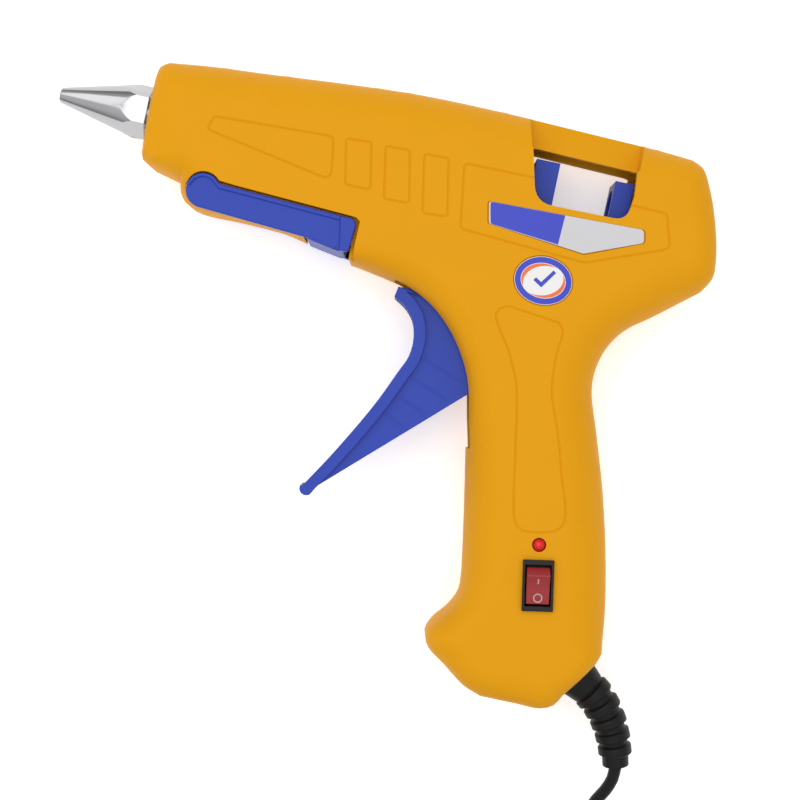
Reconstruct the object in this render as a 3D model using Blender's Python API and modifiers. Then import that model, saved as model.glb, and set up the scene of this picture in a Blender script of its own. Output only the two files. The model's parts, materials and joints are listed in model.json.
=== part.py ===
"""Hot-melt glue gun, lying on its right side, modelled as separate moulded and turned parts.

Lengths below are millimetres and are turned into Blender's metres where a mesh is made. The gun's side
view is the XY plane: +X runs to the back of the gun and +Y to its top. +Z is the gun's left side, which
faces up. The gun rests on Z = 0 and its two half shells meet at Z = MID.
"""

import math

import bmesh
import bpy
import numpy as np
from mathutils import Matrix, Vector
from mathutils.geometry import delaunay_2d_cdt

MM = 0.001
GAP = 0.3

# Housing
THICK = 36.0
MID = THICK / 2
WALL = 2.4
STEP_DEPTH = 3.6
LABEL_DEPTH = 0.6
SEAM = GAP / 2

# The line of the glue stick, from the tip of the nozzle back to the inlet
TIP = Vector((-99.2, 88.3, MID))
STICK_TILT = math.radians(12.0)
BORE_R = 5.9

# Trigger
PIVOT = Vector((13.65, 30.75, MID))
TRIGGER_ARM = 21.7
TRIGGER_SWING = math.radians(26.0)
FLANGE_HALF = 9.0
WEB_HALF = 7.0
ARM_HALF = 3.5
DRIVE_PIN_R = 1.5
UPRIGHT_HALF = 9.0

# Stand
STAND_PIVOT = Vector((-54.5, 57.65, MID))
STAND_ARM = 2.7
STAND_EYE_R = 5.1

# Mains lead
CORD_R = 1.9
COIL_MID = Vector((34.0, -166.0, 5.2))
COIL_MEAN_R = 23.2
COIL_HALF_WIDE = 9.9
COIL_HALF_HIGH = 4.1
PLUG = Vector((-25.5, -168.0, 7.1))

# A stretch of the housing's outline: how round its edge is, then the points of a smooth curve.
# The stretches follow each other clockwise from the flat front face and meet at corners.
HOUSING = (
    (9.0, ((-73.2, 69.4), (-69.1, 92.3))),
    (9.0, ((-69.1, 92.3), (-68.0, 95.4), (-65.3, 96.8))),
    (13.0, ((-65.3, 96.8), (-55.0, 96.2), (-35.0, 93.6), (-12.0, 90.7), (10.0, 87.4), (35.0, 82.1),
            (60.0, 76.0), (82.0, 70.5), (90.8, 67.6))),
    (8.0, ((90.8, 67.6), (93.8, 65.1), (95.7, 59.0), (97.3, 48.6), (97.6, 38.2), (96.7, 32.2),
           (93.3, 28.1))),
    (13.0, ((93.3, 28.1), (80.0, 21.2), (70.4, 16.4), (65.0, 10.9), (61.9, 4.4), (61.0, -1.5),
            (62.5, -15.0), (64.3, -32.0), (65.2, -52.0), (64.9, -68.0), (63.5, -79.7))),
    (6.0, ((63.5, -79.7), (61.7, -82.4))),
    (4.0, ((61.7, -82.4), (51.8, -91.8))),
    (9.0, ((51.8, -91.8), (49.2, -94.9), (45.25, -96.0), (37.8, -94.5), (27.35, -92.3))),
    (9.0, ((27.35, -92.3), (22.4, -89.2), (16.4, -82.7), (11.95, -77.9), (10.9, -74.4), (12.9, -70.8),
           (18.3, -66.2), (21.3, -61.8), (22.2, -55.9))),
    (13.0, ((22.2, -55.9), (22.85, -38.6), (23.6, -12.1))),
    (9.0, ((23.6, -12.1), (23.7, 0.0), (22.1, 7.7), (18.3, 16.6), (12.5, 24.4), (4.9, 30.2),
           (-5.1, 34.8), (-11.7, 37.6))),
    (1.0, ((-11.7, 37.6), (-11.2, 40.8), (-10.2, 42.9))),
    (1.0, ((-10.2, 42.9), (-12.3, 43.7), (-25.1, 48.6))),
    (1.0, ((-25.1, 48.6), (-25.1, 44.1))),
    (9.0, ((-25.1, 44.1), (-31.8, 46.8), (-45.1, 50.2), (-57.0, 52.9), (-60.5, 54.9), (-61.9, 58.0),
           (-62.0, 61.5))),
    (9.0, ((-62.0, 61.5), (-71.4, 66.1))),
    (9.0, ((-71.4, 66.1), (-72.9, 67.3), (-73.2, 69.4))),
)

# Front of the trigger, from its top corner down to the tip
TRIGGER_FRONT = ((1.8, 26.9), (5.2, 23.6), (7.2, 19.8), (7.6, 15.0), (6.1, 9.1), (2.8, 4.3), (-4.1, -5.3),
                 (-16.4, -19.7), (-25.6, -29.4))

# Screws that hold the right shell to the left one
SHELL_SCREWS = ((-52.5, 91.2), (8.0, 81.6), (84.0, 60.2), (83.0, 28.9), (52.5, 1.0), (20.2, -79.5),
                (57.4, -59.0))
BOSS_R = 4.2

# Corners of the window through both shells and of the label's recess, each with its radius
WINDOW = ((42.6, 71.2, 1.2), (73.4, 63.7, 1.5), (72.3, 55.6, 3.0), (69.9, 48.6, 4.5), (43.2, 54.0, 6.5))
LABEL = ((29.6, 54.4, 0.8), (29.6, 47.8, 0.8), (57.3, 38.9, 2.5), (75.1, 42.0, 1.2), (75.1, 45.9, 1.2))
# The shoulder above the window, cut flat: its side-view corners, and its height over the seam at the
# barrel's top edge and at the window
SHOULDER = ((42.1, 84.5), (77.5, 76.0), (73.9, 63.0), (42.3, 70.4))
SHOULDER_LOW = 2.4
SHOULDER_HIGH = 9.6

SWITCH = Vector((43.9, -58.5, THICK))
SWITCH_TURN = math.radians(-1.8)
LAMP = Vector((44.3, -46.6, THICK))

YELLOW = ("yellow_plastic", (0.80, 0.40, 0.02), 0.55, 0.0)
BLUE = ("blue_plastic", (0.045, 0.08, 0.5), 0.5, 0.0)
BLACK = ("black_plastic", (0.015, 0.015, 0.016), 0.45, 0.0)
RUBBER = ("black_rubber", (0.02, 0.02, 0.02), 0.7, 0.0)
ALUMINIUM = ("aluminium", (0.75, 0.75, 0.76), 0.35, 1.0)
STEEL = ("steel", (0.55, 0.56, 0.58), 0.3, 1.0)
BRASS = ("brass", (0.75, 0.55, 0.2), 0.3, 1.0)
SILICONE = ("silicone", (0.6, 0.08, 0.04), 0.6, 0.0)
WHITE = ("white_label", (0.8, 0.8, 0.8), 0.4, 0.0)
RED = ("red_lens", (0.75, 0.005, 0.01), 0.2, 0.0)
DARK_RED = ("red_rocker", (0.35, 0.01, 0.015), 0.3, 0.0)
CERAMIC = ("ceramic", (0.7, 0.68, 0.62), 0.6, 0.0)


# Scene and small helpers


def clear_scene():
    for item in list(bpy.data.objects):
        bpy.data.objects.remove(item, do_unlink=True)


def collection(name):
    made = bpy.data.collections.new(name)
    bpy.context.scene.collection.children.link(made)
    return made


def material(finish):
    name, colour, roughness, metallic = finish
    made = bpy.data.materials.get(name)
    if made:
        return made
    made = bpy.data.materials.new(name)
    made.use_nodes = True
    shader = made.node_tree.nodes["Principled BSDF"]
    shader.inputs["Base Color"].default_value = (*colour, 1.0)
    shader.inputs["Roughness"].default_value = roughness
    shader.inputs["Metallic"].default_value = metallic
    made.diffuse_color = (*colour, 1.0)
    return made


def place(name, data, finish=None, at=None):
    """A new object: a part with its finish, or without one a cutter, which doesn't show."""
    made = bpy.data.objects.new(name, data)
    if finish:
        PARTS.objects.link(made)
        data.materials.append(material(finish))
    else:
        CUTTERS.objects.link(made)
        made.hide_render = True
        made.display_type = "WIRE"
    if at is not None:
        made.matrix_world = at
    return made


def finished(bm, name):
    """A mesh in metres from a bmesh in millimetres."""
    bmesh.ops.scale(bm, vec=(MM, MM, MM), verts=bm.verts)
    bmesh.ops.recalc_face_normals(bm, faces=bm.faces)
    mesh = bpy.data.meshes.new(name)
    bm.to_mesh(mesh)
    bm.free()
    return mesh


def shifted(x, y, z, turn=0.0):
    """A place in the side view, turned about the gun's left-right direction."""
    return Matrix.Translation(Vector((x, y, z)) * MM) @ Matrix.Rotation(turn, 4, "Z")


def on_stick(s, v=0.0, z=0.0):
    """The place s behind the nozzle's tip and v above the stick's line. Its local +X runs backwards."""
    back = Vector((math.cos(STICK_TILT), -math.sin(STICK_TILT), 0.0))
    up = Vector((math.sin(STICK_TILT), math.cos(STICK_TILT), 0.0))
    point = TIP + back * s + up * v
    return shifted(point.x, point.y, point.z + z, -STICK_TILT)


def along_stick(s):
    """The same place with local +Z running backwards, for turned parts."""
    return on_stick(s) @ Matrix.Rotation(math.pi / 2, 4, "Y")


def box(name, size, finish=None, at=None, bevel=0.0):
    bm = bmesh.new()
    bmesh.ops.create_cube(bm, size=1.0)
    bmesh.ops.scale(bm, vec=size, verts=bm.verts)
    if bevel:
        bmesh.ops.bevel(bm, geom=bm.edges[:], offset=bevel, segments=1, affect="EDGES")
    return place(name, finished(bm, name), finish, at)


def cylinders(name, radius, low, high, centres, finish=None, sides=20, at=None):
    """Upright cylinders from height low to high, at places in the side view, as one mesh."""
    bm = bmesh.new()
    for x, y in centres:
        spot = Matrix.Translation((x, y, (low + high) / 2))
        bmesh.ops.create_cone(bm, cap_ends=True, segments=sides, radius1=radius, radius2=radius,
                              depth=high - low, matrix=spot)
    made = place(name, finished(bm, name), finish, at)
    soften(made)
    return made


def soften(made, angle=math.radians(32.0)):
    made.data.shade_smooth()
    made.data.set_sharp_from_angle(angle=angle)


def turned(name, profile, finish=None, at=None, sides=32):
    """A profile of (radius, height) swept about local Z: down the outside, and back up if it is closed."""
    bm = bmesh.new()
    verts = [bm.verts.new((r * MM, 0.0, z * MM)) for r, z in profile]
    for a, b in zip(verts, verts[1:]):
        bm.edges.new((a, b))
    if profile[0][0] > 0:
        bm.edges.new((verts[-1], verts[0]))
    mesh = bpy.data.meshes.new(name)
    bm.to_mesh(mesh)
    bm.free()
    made = place(name, mesh, finish, at)
    screw = made.modifiers.new("turn", "SCREW")
    screw.steps = sides
    screw.render_steps = sides
    screw.use_merge_vertices = True
    screw.merge_threshold = 0.00001
    screw.use_smooth_shade = False
    return made


def plate(name, outline, low, high, finish=None, at=None):
    """A flat outline in the side view, filled and given thickness from height low to high."""
    bm = bmesh.new()
    face = bm.faces.new([bm.verts.new((x, y, low)) for x, y in outline])
    grown = bmesh.ops.extrude_face_region(bm, geom=[face])
    top = [v for v in grown["geom"] if isinstance(v, bmesh.types.BMVert)]
    bmesh.ops.translate(bm, verts=top, vec=(0.0, 0.0, high - low))
    return place(name, finished(bm, name), finish, at)


def tube(name, points, radius, finish, tapers=None, resolution=2):
    """A round cord or wire through its points, as a curve with closed ends."""
    curve = bpy.data.curves.new(name, "CURVE")
    curve.dimensions = "3D"
    curve.bevel_depth = radius * MM
    curve.bevel_resolution = resolution
    curve.use_fill_caps = True
    spline = curve.splines.new("POLY")
    spline.points.add(len(points) - 1)
    for i, point in enumerate(points):
        spline.points[i].co = (*(Vector(point) * MM), 1.0)
        spline.points[i].radius = tapers[i] if tapers else 1.0
    return place(name, curve, finish)


def combine(target, other, how):
    step = target.modifiers.new(other.name, "BOOLEAN")
    step.operation = how
    step.solver = "EXACT"
    step.object = other


def cut(target, *others):
    for other in others:
        combine(target, other, "DIFFERENCE")


def join(target, *others):
    for other in others:
        combine(target, other, "UNION")


def smooth(points, step):
    """Points at about the given spacing on the Catmull-Rom curve through the given ones."""
    points = [np.array(p, float) for p in points]
    if len(points) == 2:
        return [tuple(points[0]), tuple(points[1])]
    padded = [2 * points[0] - points[1], *points, 2 * points[-1] - points[-2]]
    found = []
    for before, a, b, after in zip(padded, padded[1:], padded[2:], padded[3:]):
        knots = np.cumsum([0.0, *(np.linalg.norm(q - p) ** 0.5
                                  for p, q in ((before, a), (a, b), (b, after)))])
        pieces = max(1, round(float(np.linalg.norm(b - a)) / step))
        for t in np.linspace(knots[1], knots[2], pieces, endpoint=False):
            found.append(tuple(catmull_rom((before, a, b, after), knots, t)))
    return [*found, tuple(points[-1])]


def catmull_rom(corners, knots, t):
    """The curve's point at parameter t, by repeated blending of the four corners."""
    level = list(corners)
    for low, high in (((0, 1, 2), (1, 2, 3)), ((0, 1), (2, 3)), ((1,), (2,))):
        level = [((knots[j] - t) * level[k] + (t - knots[i]) * level[k + 1]) / (knots[j] - knots[i])
                 for k, (i, j) in enumerate(zip(low, high))]
    return level[0]


# The crowned half shell


def housing_loop(step):
    """The housing's outline as a closed run of points, each with the roundness of its edge."""
    points = []
    rounds = []
    for edge, stretch in HOUSING:
        run = smooth(stretch, step)[:-1]
        points.extend(run)
        rounds.extend([edge] * len(run))
    return np.array(points), np.array(rounds)


def edge_distances(spots, loop, rounds):
    """For each spot, how far in it lies from every edge of the outline, and each edge's roundness."""
    start = loop
    run = np.roll(loop, -1, axis=0) - loop
    reach = spots[:, None, :] - start[None, :, :]
    share = np.clip((reach * run).sum(2) / (run * run).sum(1), 0.0, 1.0)
    gaps = np.linalg.norm(reach - share[:, :, None] * run, axis=2)
    edge = rounds * (1 - share) + np.roll(rounds, -1) * share
    return gaps, edge


def crown(spots, loop, rounds, inset, top):
    """The height over each spot of a face that is rounded down to the outline, or of its inner wall."""
    gaps, edge = edge_distances(spots, loop, rounds)
    edge = np.maximum(edge - inset, 0.4)
    depth = np.clip(gaps - inset, 0.0, edge)
    return (top - edge + np.sqrt(edge**2 - (edge - depth) ** 2)).min(axis=1)


def inward(loop):
    """Each outline point's direction into the shape, for an outline that runs clockwise."""
    ahead = np.roll(loop, -1, axis=0) - loop
    ahead /= np.linalg.norm(ahead, axis=1)[:, None]
    mean = ahead + np.roll(ahead, 1, axis=0)
    mean /= np.maximum(np.linalg.norm(mean, axis=1), 1e-6)[:, None]
    return np.stack([mean[:, 1], -mean[:, 0]], axis=1)


def crowned_half(name, side, inset, base, finish=None):
    """A half of the housing's outer body, or at an inset the space inside it, rising from the seam."""
    loop, rounds = housing_loop(4.5)
    normals = inward(loop)
    rim = loop + normals * inset
    if inset:
        kept = edge_distances(rim, loop, rounds)[0].min(axis=1) > 0.96 * inset
        rim = rim[kept]
    spots = [tuple(p) for p in rim]
    taken = list(spots)
    for share in (0.12, 0.4, 1.0):
        depth = np.maximum(rounds - inset, 0.4) * share + inset
        ring = loop + normals * depth[:, None]
        far = edge_distances(ring, loop, rounds)[0].min(axis=1) > 0.97 * depth
        for point in ring[far]:
            if min(math.dist(point, other) for other in taken) > 1.0:
                taken.append(tuple(point))
    verts, _, faces, *_ = delaunay_2d_cdt(
        [Vector(p) for p in taken], [], [list(range(len(spots)))], 1, 0.0001)
    flat = np.array([tuple(p) for p in verts])
    heights = crown(flat, loop, rounds, inset, MID - (WALL if inset else 0.0))
    bm = bmesh.new()
    lifted = [bm.verts.new((x, y, MID + side * h)) for (x, y), h in zip(flat, heights)]
    for face in faces:
        bm.faces.new([lifted[i] for i in face])
    grown = bmesh.ops.extrude_face_region(bm, geom=bm.faces[:])
    for item in grown["geom"]:
        if isinstance(item, bmesh.types.BMVert):
            item.co.z = MID + side * base
    return place(name, finished(bm, name), finish)


# Cutters shared by the two shells


def both_sides(name, outline, low, high):
    """A pair of plates at equal distances low to high on either side of the seam."""
    bm = bmesh.new()
    for side in (1.0, -1.0):
        corners = [bm.verts.new((x, y, MID + side * low)) for x, y in outline]
        grown = bmesh.ops.extrude_face_region(bm, geom=[bm.faces.new(corners)])
        top = [v for v in grown["geom"] if isinstance(v, bmesh.types.BMVert)]
        bmesh.ops.translate(bm, verts=top, vec=(0.0, 0.0, side * (high - low)))
    return place(name, finished(bm, name))


def arc(centre, radius, start, end, pieces):
    """Points on a circle between two angles in degrees."""
    angles = np.radians(np.linspace(start, end, pieces + 1))
    return [(centre[0] + radius * math.cos(a), centre[1] + radius * math.sin(a)) for a in angles]


def stick_outline(corners):
    """Corners given along and above the stick's line, as places in the side view."""
    found = []
    for s, v in corners:
        point = on_stick(s, v).translation / MM
        found.append((point.x, point.y))
    return found


def rounded(corners, margin=0.0):
    """An outline from corners with radii, in order, grown by a margin away from its middle."""
    middle = sum((Vector(c[:2]) for c in corners), Vector((0.0, 0.0))) / len(corners)
    found = []
    for i, (x, y, radius) in enumerate(corners):
        corner = Vector((x, y))
        before = (Vector(corners[i - 1][:2]) - corner).normalized()
        after = (Vector(corners[(i + 1) % len(corners)][:2]) - corner).normalized()
        reach = radius / math.tan(before.angle(after) / 2)
        for share in (0.0, 0.25, 0.5, 0.75, 1.0):
            blend = corner + before * reach * (1 - share) ** 2 + after * reach * share**2
            found.append(tuple(blend + (blend - middle).normalized() * margin))
    return found


def stand_step(margin):
    """The side area that is stepped in, so that the stand's arm can fold against it and swing down."""
    eye = (STAND_PIVOT.x, STAND_PIVOT.y)
    neck = 30 + 8 * margin
    return [(-67.0, 56.0), (-61.2 - margin, 59.6), *arc(eye, STAND_EYE_R + 0.5 + margin, 150, neck, 6),
            (-45.0, 59.05 + margin), (-11.0 + margin, 50.1 + margin), (-8.3 + margin, 48.4 + margin),
            (-10.0 + margin, 41.0), (-11.5, 30.0), (-67.0, 30.0)]


def shoulder(name, sink, grown_by):
    """The wedge taken off above the window on both sides, or grown and at a depth the wall round it."""
    bm = bmesh.new()
    middle = sum(x for x, y in SHOULDER) / len(SHOULDER)
    outline = [(x + math.copysign(grown_by, x - middle), y) for x, y in SHOULDER]
    for side in (1.0, -1.0):
        low = max(SHOULDER_LOW - sink, GAP)
        high = SHOULDER_HIGH - sink
        corners = [bm.verts.new((x, y, MID + side * h)) for (x, y), h in zip(outline, (low, low, high, high))]
        grown = bmesh.ops.extrude_face_region(bm, geom=[bm.faces.new(corners)])
        for item in grown["geom"]:
            if isinstance(item, bmesh.types.BMVert):
                item.co.z = MID + side * (MID + 1.0)
    return place(name, finished(bm, name))


def trigger_slot():
    return [(0.5, 25.0), (0.5, 31.0), (5.0, 33.6), (11.0, 36.6), (22.0, 36.6), (30.0, 20.0), (30.0, -18.5),
            (5.0, -18.5)]


def rectangle(centre, size, turn):
    """Corners of a rectangle about a place in the side view."""
    across = Vector((math.cos(turn), math.sin(turn))) * size[0] / 2
    along = Vector((-math.sin(turn), math.cos(turn))) * size[1] / 2
    middle = Vector((centre.x, centre.y))
    return [tuple(middle + across * i + along * j) for i, j in ((-1, -1), (1, -1), (1, 1), (-1, 1))]


def sticker_outline(margin):
    tilt = math.radians(12.0)
    found = []
    for a in np.linspace(0, 2 * math.pi, 24, endpoint=False):
        x = (8.55 + margin) * math.cos(a)
        y = (7.05 + margin) * math.sin(a)
        found.append((45.5 + x * math.cos(tilt) + y * math.sin(tilt),
                      31.0 - x * math.sin(tilt) + y * math.cos(tilt)))
    return found


def butt_frame():
    """The place where the lead leaves the butt. Local +Z runs outwards."""
    return shifted(56.3, -87.2, MID, math.radians(-45.6)) @ Matrix.Rotation(math.pi / 2, 4, "Y")


def housing():
    """The two half shells, hollow, with screw bosses, rails, ribs and every opening."""
    bosses = cylinders("boss_posts", BOSS_R, -1.0, THICK + 1.0, SHELL_SCREWS, sides=12)
    pin_bosses = both_sides("pin_bosses", arc((PIVOT.x, PIVOT.y), 4.4, 0, 330, 11), 9.4, MID + 1.0)
    rail = []
    for name, low, high in (("lower_rails", -11.4, -10.1), ("upper_rails", -6.9, -5.7)):
        outline = stick_outline([(107, low), (179, low), (179, high), (107, high)])
        rail.append(both_sides(name, outline, 10.4, MID))
    ribs = []
    for name, s in (("chamber_rib_1", 37.0), ("chamber_rib_2", 79.0)):
        outline = stick_outline([(s, -34), (s + 2, -34), (s + 2, 20), (s, 20)])
        ribs.append(plate(name, outline, 0.0, THICK))
    nest = cylinders("chamber_nest", 8.4, -70.0, 70.0, [(0.0, 0.0)], at=along_stick(60.0), sides=24)
    nest_2 = plate("heater_nest", stick_outline([(30, -20), (90, -20), (90, 0), (30, 0)]), 9.0, 27.0)
    for rib in ribs:
        cut(rib, nest, nest_2)
    step_floor = both_sides("step_floor", stand_step(2.0), MID - STEP_DEPTH - 2.2, MID + 1.0)
    shoulder_wall = shoulder("shoulder_wall", WALL * 1.15, WALL)
    posts = cylinders("clamp_posts", 3.0, -1.0, 15.6, clamp_spots(), sides=12)

    window = plate("window_cut", rounded(WINDOW), -2.0, THICK + 2.0)
    slot = plate("trigger_cut", trigger_slot(), MID - 9.4, MID + 9.4)
    front = cylinders("front_cut", 8.9, -12.0, 12.0, [(0.0, 0.0)], at=along_stick(22.0), sides=32)
    inlet = cylinders("inlet_cut", 6.2, -12.0, 14.0, [(0.0, 0.0)], at=along_stick(198.0), sides=28)
    gland = cylinders("gland_cut", 5.2, -7.0, 5.0, [(0.0, 0.0)], at=butt_frame(), sides=20)
    step = both_sides("stand_cut", stand_step(0.0), MID - STEP_DEPTH, MID + 1.0)
    studs = cylinders("stud_cut", 2.7, -1.0, THICK + 1.0, [(STAND_PIVOT.x, STAND_PIVOT.y)], sides=20)
    pin = cylinders("pin_cut", 2.15, 4.0, THICK - 4.0, [(PIVOT.x, PIVOT.y)], sides=16)
    shared = (window, shoulder("shoulder_cut", 0.0, 0.0), slot, front, inlet, gland, step, studs, pin)

    left = crowned_half("left_shell", 1.0, 0.0, SEAM, YELLOW)
    left_space = crowned_half("left_space", 1.0, WALL, -1.0)
    cut(left_space, bosses, pin_bosses, *rail, *ribs, step_floor, shoulder_wall)
    pilots = cylinders("pilot_cut", 1.7, MID - 1.0, 30.0, SHELL_SCREWS, sides=10)
    switch = plate("switch_cut", rectangle(SWITCH, (8.6, 14.0), SWITCH_TURN), THICK - 6.0, THICK + 2.0)
    lamp = cylinders("lamp_cut", 2.1, THICK - 6.0, THICK + 2.0, [(LAMP.x, LAMP.y)], sides=16)
    label = plate("label_cut", rounded(LABEL, 0.5), THICK - LABEL_DEPTH, THICK + 2.0)
    sticker = plate("sticker_cut", sticker_outline(0.4), THICK - LABEL_DEPTH, THICK + 2.0)
    cut(left, left_space, *shared, pilots, switch, lamp, label, sticker)

    right = crowned_half("right_shell", -1.0, 0.0, SEAM, YELLOW)
    right_space = crowned_half("right_space", -1.0, WALL, -1.0)
    cut(right_space, bosses, pin_bosses, *rail, *ribs, step_floor, shoulder_wall, posts)
    shanks = cylinders("shank_cut", 1.8, 1.0, MID + 1.0, SHELL_SCREWS, sides=10)
    heads = cylinders("head_cut", 3.4, -1.0, 8.0, SHELL_SCREWS, sides=16)
    clamp_pilots = cylinders("clamp_pilot_cut", 1.2, 7.0, MID, clamp_spots(), sides=8)
    cut(right, right_space, *shared, shanks, heads, clamp_pilots)


def shell_screws():
    for i, (x, y) in enumerate(SHELL_SCREWS, 1):
        profile = ((0.0, 26.0), (1.4, 25.0), (1.4, 7.6), (2.9, 7.6), (2.9, 5.8), (2.3, 5.3), (0.0, 5.3))
        screw = turned(f"shell_screw_{i}", profile, STEEL, shifted(x, y, 0.0), sides=14)
        soften_turned(screw)


def soften_turned(made):
    made.modifiers["turn"].use_smooth_shade = True


# Hot end


def nozzle():
    """A cone that meets a hexagon 14 mm across its flats, bored through, with a shank for the chamber."""
    profile = ((4.8, 37.6), (4.8, 27.4), (8.6, 27.4), (8.6, 25.6), (2.3, 0.5), (1.9, 0.0), (0.9, 0.0),
               (0.9, 4.0), (2.9, 9.0), (2.9, 37.6))
    body = turned("nozzle", profile, ALUMINIUM, along_stick(0.0), sides=36)
    flats = cylinders("nozzle_flats", 14.0 / math.sqrt(3.0), -2.0, 40.0, [(0.0, 0.0)],
                      at=along_stick(0.0) @ Matrix.Rotation(math.radians(30.0), 4, "Z"), sides=6)
    combine(body, flats, "INTERSECT")
    return body


def hot_end():
    nozzle()
    chamber = ((8.0, 86.0), (8.0, 31.0), (6.8, 31.0), (6.8, 28.4), (5.2, 28.4), (5.2, 38.6), (BORE_R, 39.4),
               (BORE_R, 84.6), (6.8, 86.0))
    turned("melt_chamber", chamber, ALUMINIUM, along_stick(0.0), sides=28)
    turned("chamber_collar", ((10.4, 35.8), (10.4, 33.2), (8.35, 33.2), (8.35, 35.8)), STEEL,
           along_stick(0.0), sides=24)
    box("contact_plate_1", (24.0, 0.6, 10.0), BRASS, on_stick(58.0, -8.7))
    box("ptc_heater", (22.0, 2.4, 9.0), CERAMIC, on_stick(58.0, -10.6))
    box("contact_plate_2", (24.0, 0.6, 10.0), BRASS, on_stick(58.0, -12.5))
    clip = stick_outline([(50.0, -14.4), (66.0, -14.4), (66.0, -13.2), (50.0, -13.2)])
    arm = stick_outline([(50, -14.4), (66, -14.4), (66, -3.6), (50, -3.6)])
    arms = both_sides("clip_arms", arm, 8.5, 9.7)
    strap = plate("heater_clip", clip, MID - 9.7, MID + 9.7, STEEL)
    join(strap, arms)
    sleeve = ((8.2, 106.0), (8.2, 87.2), (7.0, 86.3), (BORE_R, 86.3), (BORE_R, 104.0), (6.8, 106.0))
    turned("stick_sleeve", sleeve, SILICONE, along_stick(0.0), sides=24)
    clamp = ((9.6, 97.0), (9.6, 91.0), (8.5, 91.0), (8.5, 97.0))
    turned("sleeve_clamp", clamp, STEEL, along_stick(0.0), sides=20)


# Feed


def pin_spot(swing):
    """Where the trigger's drive pin is at a swing, measured from its place square to the stick."""
    angle = math.pi / 2 - STICK_TILT - TRIGGER_SWING / 2 + swing
    return (PIVOT.x + TRIGGER_ARM * math.cos(angle), PIVOT.y + TRIGGER_ARM * math.sin(angle))


def trigger_shape():
    front = smooth(TRIGGER_FRONT, 4.0)
    tip = arc((-24.5, -30.4), 2.1, 150, 300, 5)
    return front, tip


def trigger():
    """The blade with its wide front flange, thinner web, hub, and the arm that drives the carriage."""
    front, tip = trigger_shape()
    web = [(3.0, 29.8), *front, *tip, (-21.6, -29.9), (22.95, -2.85), (27.2, -0.2), (25.0, 12.0),
           (18.6, 28.0)]
    normals = inward(np.array(front))
    inner = [tuple(np.array(p) - n * 3.4) for p, n in zip(front, normals)][1:-1]
    flange = [(3.0, 29.8), *front, *tip, (-21.9, -30.2), *reversed(inner), (9.6, 27.0)]
    body = place("trigger", plate_mesh("trigger", web, MID - WEB_HALF, MID + WEB_HALF), BLUE,
                 shifted(PIVOT.x, PIVOT.y, 0.0))
    body.data.transform(Matrix.Translation((-PIVOT.x * MM, -PIVOT.y * MM, 0.0)))
    rim = plate("trigger_flange", flange, MID - FLANGE_HALF, MID + FLANGE_HALF)
    pivot = [(PIVOT.x, PIVOT.y)]
    hub = cylinders("trigger_hub", 5.0, MID - WEB_HALF - 0.3, MID + WEB_HALF + 0.3, pivot, sides=24)
    sleeve = cylinders("trigger_sleeve", 3.4, MID - FLANGE_HALF, MID + FLANGE_HALF, pivot, sides=18)
    end = Vector(pin_spot(0.0))
    reach = (end - Vector((PIVOT.x, PIVOT.y))).normalized()
    side = Vector((-reach.y, reach.x)) * 3.2
    root = Vector((PIVOT.x, PIVOT.y))
    lean = math.degrees(math.atan2(side.y, side.x))
    bar = [tuple(root + side), tuple(root - side), *arc(tuple(end), 3.2, lean - 180, lean, 8)]
    lever = plate("trigger_lever", bar, MID - ARM_HALF, MID + ARM_HALF)
    holes = cylinders("trigger_pin_cut", 2.2, 0.0, THICK, [(PIVOT.x, PIVOT.y)], sides=20)
    drive = cylinders("drive_pin_cut", DRIVE_PIN_R + GAP, 0.0, THICK, [tuple(end)], sides=16)
    join(body, rim, hub, sleeve, lever)
    cut(body, holes, drive)
    cylinders("trigger_pin", 1.85, 5.0, THICK - 5.0, [(0.0, 0.0)], STEEL,
              at=shifted(PIVOT.x, PIVOT.y, 0.0), sides=16)
    cylinders("drive_pin", DRIVE_PIN_R, MID - 9.4, MID + 9.4, [(0.0, 0.0)], STEEL,
              at=shifted(end.x, end.y, 0.0), sides=16)


def plate_mesh(name, outline, low, high):
    made = plate(name + "_blank", outline, low, high)
    mesh = made.data
    bpy.data.objects.remove(made)
    return mesh


def carriage():
    """A sliding base with a fork for the drive pin and two uprights that the stick passes through."""
    base = plate("carriage", stick_outline([(134, -9.7), (175, -9.7), (175, -7.3), (134, -7.3)]),
                 MID - 13.0, MID + 13.0, BLUE)
    rest = Vector(pin_spot(0.0))
    spot = rest - Vector((TIP.x, TIP.y))
    s = spot.x * math.cos(STICK_TILT) - spot.y * math.sin(STICK_TILT)
    v = spot.x * math.sin(STICK_TILT) + spot.y * math.cos(STICK_TILT)
    fork = stick_outline([(s - 4.6, -15.7), (137, -15.7), (137, -8.0), (s - 4.6, -8.0)])
    cheeks = both_sides("carriage_cheeks", fork, 4.0, 8.2)
    slot = [*arc((s, v + 0.75), DRIVE_PIN_R + 0.4, 0, 180, 6),
            *arc((s, v - 0.3), DRIVE_PIN_R + 0.4, 180, 360, 6)]
    ways = plate("cheek_cut", stick_outline(slot), 0.0, THICK)
    front = plate("front_upright", stick_outline([(144.6, -8.5), (151.8, -8.5), (151.8, 9.9), (144.6, 9.9)]),
                  MID - UPRIGHT_HALF, MID + UPRIGHT_HALF)
    rear = plate("rear_upright", stick_outline([(169.0, -8.5), (174.7, -8.5), (174.7, 8.3), (169.0, 8.3)]),
                 MID - UPRIGHT_HALF, MID + UPRIGHT_HALF)
    bore = cylinders("carriage_bore", 6.3, -30.0, 30.0, [(0.0, 0.0)], at=along_stick(158.0), sides=24)
    join(base, cheeks, front, rear)
    cut(base, ways, bore)
    grip = box("grip_plate", (1.6, 17.0, 15.0), STEEL, on_stick(142.3, 1.4))
    hole = cylinders("grip_cut", 6.6, -3.0, 3.0, [(0.0, 0.0)], at=along_stick(142.3), sides=24)
    cut(grip, hole)


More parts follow.
